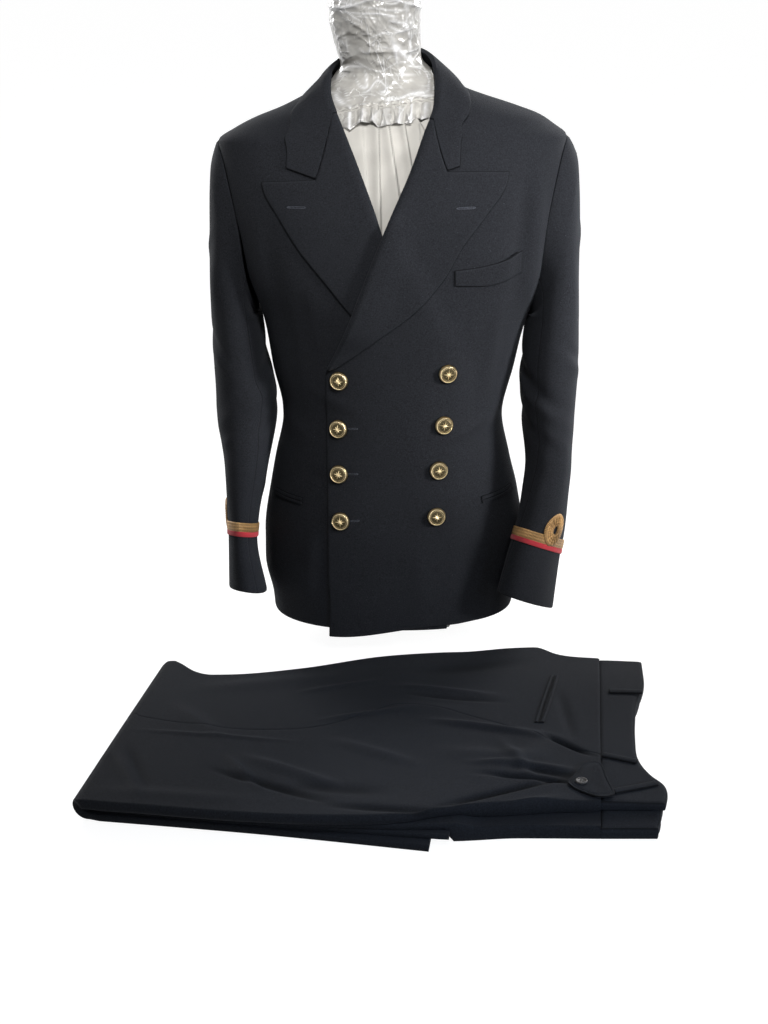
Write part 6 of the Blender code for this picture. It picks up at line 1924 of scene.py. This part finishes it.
def stitch_tree():
    """Node tree that sets a thread's short rolls along a path, turned by a given angle."""
    tree = bpy.data.node_groups.get("Stitches")
    if tree:
        return tree
    tree = bpy.data.node_groups.new("Stitches", "GeometryNodeTree")
    tree.interface.new_socket("Path", in_out="INPUT", socket_type="NodeSocketGeometry")
    for name, default in (("Pitch", 0.001), ("Length", 0.0022), ("Thickness", 0.0006), ("Turn", 0.0)):
        socket = tree.interface.new_socket(name, in_out="INPUT", socket_type="NodeSocketFloat")
        socket.default_value = default
    facing = tree.interface.new_socket("Facing", in_out="INPUT", socket_type="NodeSocketVector")
    facing.default_value = (0.0, 0.0, 1.0)
    tree.interface.new_socket("Thread", in_out="INPUT", socket_type="NodeSocketMaterial")
    tree.interface.new_socket("Stitches", in_out="OUTPUT", socket_type="NodeSocketGeometry")
    given = add_node(tree, "NodeGroupInput").outputs
    curve = add_node(tree, "GeometryNodeMeshToCurve", Mesh=given["Path"])
    even = add_node(tree, "GeometryNodeResampleCurve", dict(mode="LENGTH"), Curve=curve.outputs["Curve"],
                    Length=given["Pitch"])
    tangent = add_node(tree, "GeometryNodeInputTangent")
    upright = add_node(tree, "FunctionNodeAlignRotationToVector", dict(axis="Z"), Vector=given["Facing"])
    led = add_node(tree, "FunctionNodeAlignRotationToVector", dict(axis="X", pivot_axis="Z"),
                   Rotation=upright.outputs["Rotation"], Vector=tangent.outputs["Tangent"])
    angle = add_node(tree, "FunctionNodeAxisAngleToRotation", Axis=(0.0, 0.0, 1.0), Angle=given["Turn"])
    turned = add_node(tree, "FunctionNodeRotateRotation", dict(rotation_space="LOCAL"),
                      Rotation=led.outputs["Rotation"], Rotate_By=angle.outputs["Rotation"])
    roll = add_node(tree, "GeometryNodeMeshIcoSphere", Radius=0.5, Subdivisions=2)
    size = add_node(tree, "ShaderNodeCombineXYZ", X=given["Length"], Y=given["Thickness"],
                    Z=given["Thickness"])
    place = add_node(tree, "GeometryNodeInstanceOnPoints", Points=even.outputs["Curve"],
                     Instance=roll.outputs["Mesh"], Rotation=turned.outputs["Rotation"],
                     Scale=size.outputs["Vector"])
    real = add_node(tree, "GeometryNodeRealizeInstances", Geometry=place.outputs["Instances"])
    paint = add_node(tree, "GeometryNodeSetMaterial", Geometry=real.outputs["Geometry"],
                     Material=given["Thread"])
    add_node(tree, "NodeGroupOutput", Stitches=paint.outputs["Geometry"])
    return tree


def stitched(name, paths, slot, **inputs):
    """Plain mesh of stitches along several paths, with the tree's inputs by name."""
    verts, edges = [], []
    for path in paths:
        edges += [(len(verts) + k, len(verts) + k + 1) for k in range(len(path) - 1)]
        verts += [tuple(point) for point in path]
    guide = bpy.data.meshes.new(name + "_path")
    guide.from_pydata(verts, edges, [])
    carrier = placed(name + "_path", guide)
    modifier = carrier.modifiers.new("Stitches", "NODES")
    modifier.node_group = stitch_tree()
    items = modifier.node_group.interface.items_tree
    sockets = {item.name: item.identifier for item in items if item.in_out == "INPUT"}
    for key, value in inputs.items():
        modifier[sockets[key.title()]] = value
    modifier[sockets["Thread"]] = finish_of(slot)
    graph = bpy.context.evaluated_depsgraph_get()
    mesh = bpy.data.meshes.new_from_object(carrier.evaluated_get(graph))
    bpy.data.objects.remove(carrier)
    if not len(mesh.polygons):
        raise RuntimeError("no stitches were made for " + name)
    mesh.materials.clear()
    mesh.materials.append(finish_of(slot))
    mesh.polygons.foreach_set("material_index", np.zeros(len(mesh.polygons), np.int32))
    mesh.shade_smooth()
    return wear(placed(name, mesh), SLOT_COLOUR.get(slot, slot))


def hole_path(start, end, half, count=60):
    """Long narrow loop round a buttonhole, in the flat map."""
    start, end = np.array(start, float), np.array(end, float)
    axis = unit(end - start)
    aside = np.array([-axis[1], axis[0]])
    turn = np.linspace(0, 2 * np.pi, count)
    out = np.linalg.norm(end - start) / 2
    flat = bent(np.cos(turn), 0.35)
    return (start + end) / 2 + flat[:, None] * out * axis + (half * np.sin(turn))[:, None] * aside


LAPEL_HOLES = {"left": ((0.0796, 0.6046), (0.103, 0.6053)), "right": ((-0.1084, 0.6078), (-0.1316, 0.6081))}


def build_stitching():
    """Buttonholes of the front and the lapels, worked with close cross stitches."""
    paths = []
    for x, z in BUTTONS[1:4]:
        loop = hole_path((x + 0.012, z + 0.0008), (x + 0.0248, z + 0.0016), 0.0009)
        paths.append(hung(on_front(loop[:, 0], loop[:, 1], 0.0002, over=True)))
    stitched("front_buttonholes", paths, "navy_thread", pitch=0.00075, length=0.0011, thickness=0.0006,
             turn=np.pi / 2, facing=(0.0, -1.0, 0.0))
    paths = []
    for which, (start, end) in LAPEL_HOLES.items():
        shape = LAPELS[which]
        loop = hole_path(start, end, 0.0009)
        heights = np.array(shape["outer"])
        outer = np.interp(loop[:, 1], heights[:, 1], heights[:, 0])
        inner = ROLL(shape["roll"], loop[:, 1])
        lift = lapel_lift(np.clip((loop[:, 0] - inner) / (outer - inner), 0, 1))
        paths.append(hung(on_front(loop[:, 0], loop[:, 1], lift + 0.0002, over=which == "left")))
    stitched("lapel_buttonholes", paths, "navy_thread", pitch=0.00075, length=0.0014, thickness=0.00065,
             turn=np.pi / 2, facing=(0.0, -1.0, 0.2))


# Stage

def sweep(name, radius, rise, height):
    """Round floor that sweeps up into a dome, facing inward."""
    turns = circle(96)
    arc = np.radians(np.linspace(-90, 90, 40))
    dome = radius + rise
    profile = [(share * radius, height) for share in (0.02, 0.1, 0.3, 0.6, 1.0)]
    profile += [(radius + rise * np.cos(turn), height + rise * (1 + np.sin(turn))) for turn in arc[1:20]]
    profile += [(dome * np.cos(turn), height + rise + dome * np.sin(turn)) for turn in arc[21:-1]]
    rings = np.array([[(r * np.cos(turn), r * np.sin(turn), z) for turn in turns] for r, z in profile])
    grid = np.concatenate([rings[:1] * (0, 0, 1), rings, rings[-1:] * (0, 0, 1)])
    faces = patch_faces(len(grid), len(turns), True)[0]
    mesh = bpy.data.meshes.new(name)
    mesh.from_pydata([tuple(vert) for vert in grid.reshape(-1, 3)], [], [tuple(face) for face in faces])
    merge(mesh, 1e-5)
    mesh.shade_smooth()
    return placed(name, mesh)


# Lights: place, the point each faces, size, share of the key light's power, spread in degrees and colour
WHITE = (1.0, 1.0, 1.0)
COOL = (0.74, 0.95, 1.26)
LIGHTS = {
    "key": ((0.3, -1.55, 1.85), (0.06, -0.08, 0.7), 0.45, 0.8, 31, WHITE),
    "side": ((1.75, -0.85, 0.95), (0.24, -0.05, 0.46), 0.4, 1.05, 30, WHITE),
    "low": ((1.35, -1.55, 0.5), (0.0, -0.5, 0.0), 0.22, 0.14, 28, COOL),
    "floor_top": ((-0.1, -1.35, 1.4), (0.02, -0.6, 0.0), 0.4, 0.08, 31, COOL),
    "back_left": ((1.35, 1.7, 1.45), (0.0, 0.05, 0.5), 0.8, 3.3, 60, WHITE),
    "back_right": ((-1.35, 1.6, 1.25), (0.0, 0.05, 0.5), 0.8, 2.6, 60, WHITE),
}
CAMERA_PLACE = (-0.011, -2.018, 0.825)


def add_light(name, place, aim, size, energy, spread_angle, colour):
    """Soft square light that faces a point, its beam narrowed to the given angle."""
    data = bpy.data.lights.new(name, "AREA")
    data.size = size
    data.spread = float(np.radians(spread_angle))
    data.energy = energy
    data.color = colour
    lamp = placed(name, data)
    lamp.location = place
    back = unit(np.array(place, float) - np.array(aim, float))
    lamp.rotation_euler = (float(np.arccos(back[2])), 0.0, float(np.arctan2(back[0], -back[1])))
    lamp.visible_camera = False


def build_stage():
    """Pale floor, soft lights and the photograph's camera."""
    scene = bpy.context.scene
    look = staging()
    floor = sweep("floor", 5.0, 4.0, -0.0006)
    floor.visible_diffuse = False
    paper = Finish("Pale paper", 0.9)
    grain = paper.noise(30.0, 2.0)
    paper.paint(paper.blend(grain, scaled(tuple(look.floor_colour), 0.985), tuple(look.floor_colour)))
    paper.shader.inputs["Emission Color"].default_value = (1.0, 1.0, 1.0, 1.0)
    paper.shader.inputs["Emission Strength"].default_value = look.backdrop
    floor.data.materials.append(paper.material)
    world = bpy.data.worlds.new("Studio")
    world.use_nodes = True
    background = world.node_tree.nodes["Background"].inputs
    background["Color"].default_value = (1.0, 1.0, 1.0, 1.0)
    background["Strength"].default_value = look.ambient
    scene.world = world
    for name, (place, aim, size, share, spread_angle, colour) in LIGHTS.items():
        add_light(name, place, aim, size, look.key_power * share, spread_angle, colour)
    data = bpy.data.cameras.new("view")
    data.sensor_width = 36.0
    data.lens = look.lens
    camera = placed("view", data)
    camera.location = CAMERA_PLACE
    camera.rotation_euler = (np.radians(90.0 - look.pitch), 0.0, 0.0)
    scene.camera = camera
    scene.view_settings.view_transform = "Standard"


# Add-on

class UniformSizes(bpy.types.PropertyGroup):
    cloth: bpy.props.FloatProperty(
        name="Cloth", description="Thickness of the wool cloth", default=0.0018, min=0.001, max=0.003,
        unit="LENGTH")
    button_radius: bpy.props.FloatProperty(
        name="Button radius", description="Half the width of a front button", default=0.0125, unit="LENGTH")


def colour_property(name, description, default):
    return bpy.props.FloatVectorProperty(name=name, description=description, subtype="COLOR", default=default)


class UniformColours(bpy.types.PropertyGroup):
    navy_cloth: colour_property("Wool", "Navy of the wool cloth", (0.0168, 0.0181, 0.0218))
    gold_lace: colour_property("Lace", "Aged gold of the cuff lace", (0.4, 0.22, 0.068))
    red_cloth: colour_property("Red cloth", "Distinction cloth below the lace", (0.46, 0.013, 0.026))
    gilt_brass: colour_property("Gilt", "Metal of the buttons", (0.76, 0.61, 0.33))
    form_cover: colour_property("Form", "Pale cover of the dress form", (0.505, 0.485, 0.445))
    dark_horn: colour_property("Horn", "Trouser tab's button", (0.018, 0.017, 0.018))


class UniformStage(bpy.types.PropertyGroup):
    floor_colour: colour_property("Floor", "Colour of the floor", (0.25, 0.25, 0.25))
    ambient: bpy.props.FloatProperty(
        name="Ambient", description="Strength of the light from all round", default=0.12, min=0.0)
    backdrop: bpy.props.FloatProperty(
        name="Backdrop", description="Own brightness of the floor and backdrop", default=0.93, min=0.0)
    key_power: bpy.props.FloatProperty(
        name="Key light", description="Power of the largest light, in watts", default=1.8, min=0.0)
    lens: bpy.props.FloatProperty(
        name="Lens", description="Focal length for a 36 mm sensor", default=52.734, unit="CAMERA")
    pitch: bpy.props.FloatProperty(
        name="Pitch", description="How far the camera looks down, in degrees", default=18.0)


class BuildStep:
    """What every step shares: it runs its builder and reports that it is done."""

    bl_options = {"REGISTER", "UNDO"}

    def execute(self, context):
        self.build()
        return {"FINISHED"}


class UNIFORM_OT_stage(BuildStep, bpy.types.Operator):
    """Set the floor, the lights and the camera"""

    bl_idname = "uniform.stage"
    bl_label = "Stage"

    def build(self):
        build_stage()


class UNIFORM_OT_form(BuildStep, bpy.types.Operator):
    """Build the dress form, its cover and the frill at its neck"""

    bl_idname = "uniform.form"
    bl_label = "Dress form"

    def build(self):
        build_form()
        build_frill()


class UNIFORM_OT_body(BuildStep, bpy.types.Operator):
    """Build the jacket's fronts and backs"""

    bl_idname = "uniform.body"
    bl_label = "Jacket body"

    def build(self):
        build_panels()


class UNIFORM_OT_collar(BuildStep, bpy.types.Operator):
    """Build the lapels and the collar"""

    bl_idname = "uniform.collar"
    bl_label = "Lapels and collar"

    def build(self):
        build_lapels()
        build_collar()


class UNIFORM_OT_sleeves(BuildStep, bpy.types.Operator):
    """Build the sleeves with their cuff lace"""

    bl_idname = "uniform.sleeves"
    bl_label = "Sleeves"

    def build(self):
        build_sleeves()
        build_cuffs()


class UNIFORM_OT_pockets(BuildStep, bpy.types.Operator):
    """Build the breast welt and the hip pocket jets"""

    bl_idname = "uniform.pockets"
    bl_label = "Pockets"

    def build(self):
        build_welt()
        build_hip_jets()


class UNIFORM_OT_buttons(BuildStep, bpy.types.Operator):
    """Build the eight gilt buttons and the worked buttonholes"""

    bl_idname = "uniform.buttons"
    bl_label = "Buttons"

    def build(self):
        build_buttons()
        build_stitching()


class UNIFORM_OT_trousers(BuildStep, bpy.types.Operator):
    """Build the folded trousers with their waistband, tab and loops"""

    bl_idname = "uniform.trousers"
    bl_label = "Trousers"

    def build(self):
        build_trouser_legs()
        build_waistbands()
        build_side_tab()
        build_tab_button()
        build_trouser_details()


STEPS = ("stage", "form", "body", "collar", "sleeves", "pockets", "buttons", "trousers")


class UNIFORM_PT_panel(bpy.types.Panel):
    """Sizes, colours and steps of the uniform"""

    bl_label = "Uniform"
    bl_idname = "UNIFORM_PT_panel"
    bl_space_type = "VIEW_3D"
    bl_region_type = "UI"
    bl_category = "Uniform"

    def draw(self, context):
        column = self.layout.column(align=True)
        for group in (sizes(), colours(), staging()):
            for key in group.bl_rna.properties.keys():
                if key not in ("rna_type", "name"):
                    column.prop(group, key)
        for step in STEPS:
            column.operator("uniform." + step)


CLASSES = (UniformSizes, UniformColours, UniformStage, UNIFORM_OT_stage, UNIFORM_OT_form, UNIFORM_OT_body,
           UNIFORM_OT_collar, UNIFORM_OT_sleeves, UNIFORM_OT_pockets, UNIFORM_OT_buttons, UNIFORM_OT_trousers,
           UNIFORM_PT_panel)


def register():
    for item in CLASSES:
        bpy.utils.register_class(item)
    bpy.types.Scene.uniform_sizes = bpy.props.PointerProperty(type=UniformSizes)
    bpy.types.Scene.uniform_colours = bpy.props.PointerProperty(type=UniformColours)
    bpy.types.Scene.uniform_stage = bpy.props.PointerProperty(type=UniformStage)


def unregister():
    for name in ("uniform_sizes", "uniform_colours", "uniform_stage"):
        delattr(bpy.types.Scene, name)
    for item in reversed(CLASSES):
        bpy.utils.unregister_class(item)


def main():
    register()
    for step in STEPS:
        getattr(bpy.ops.uniform, step)()


if __name__ == "__main__":
    main()
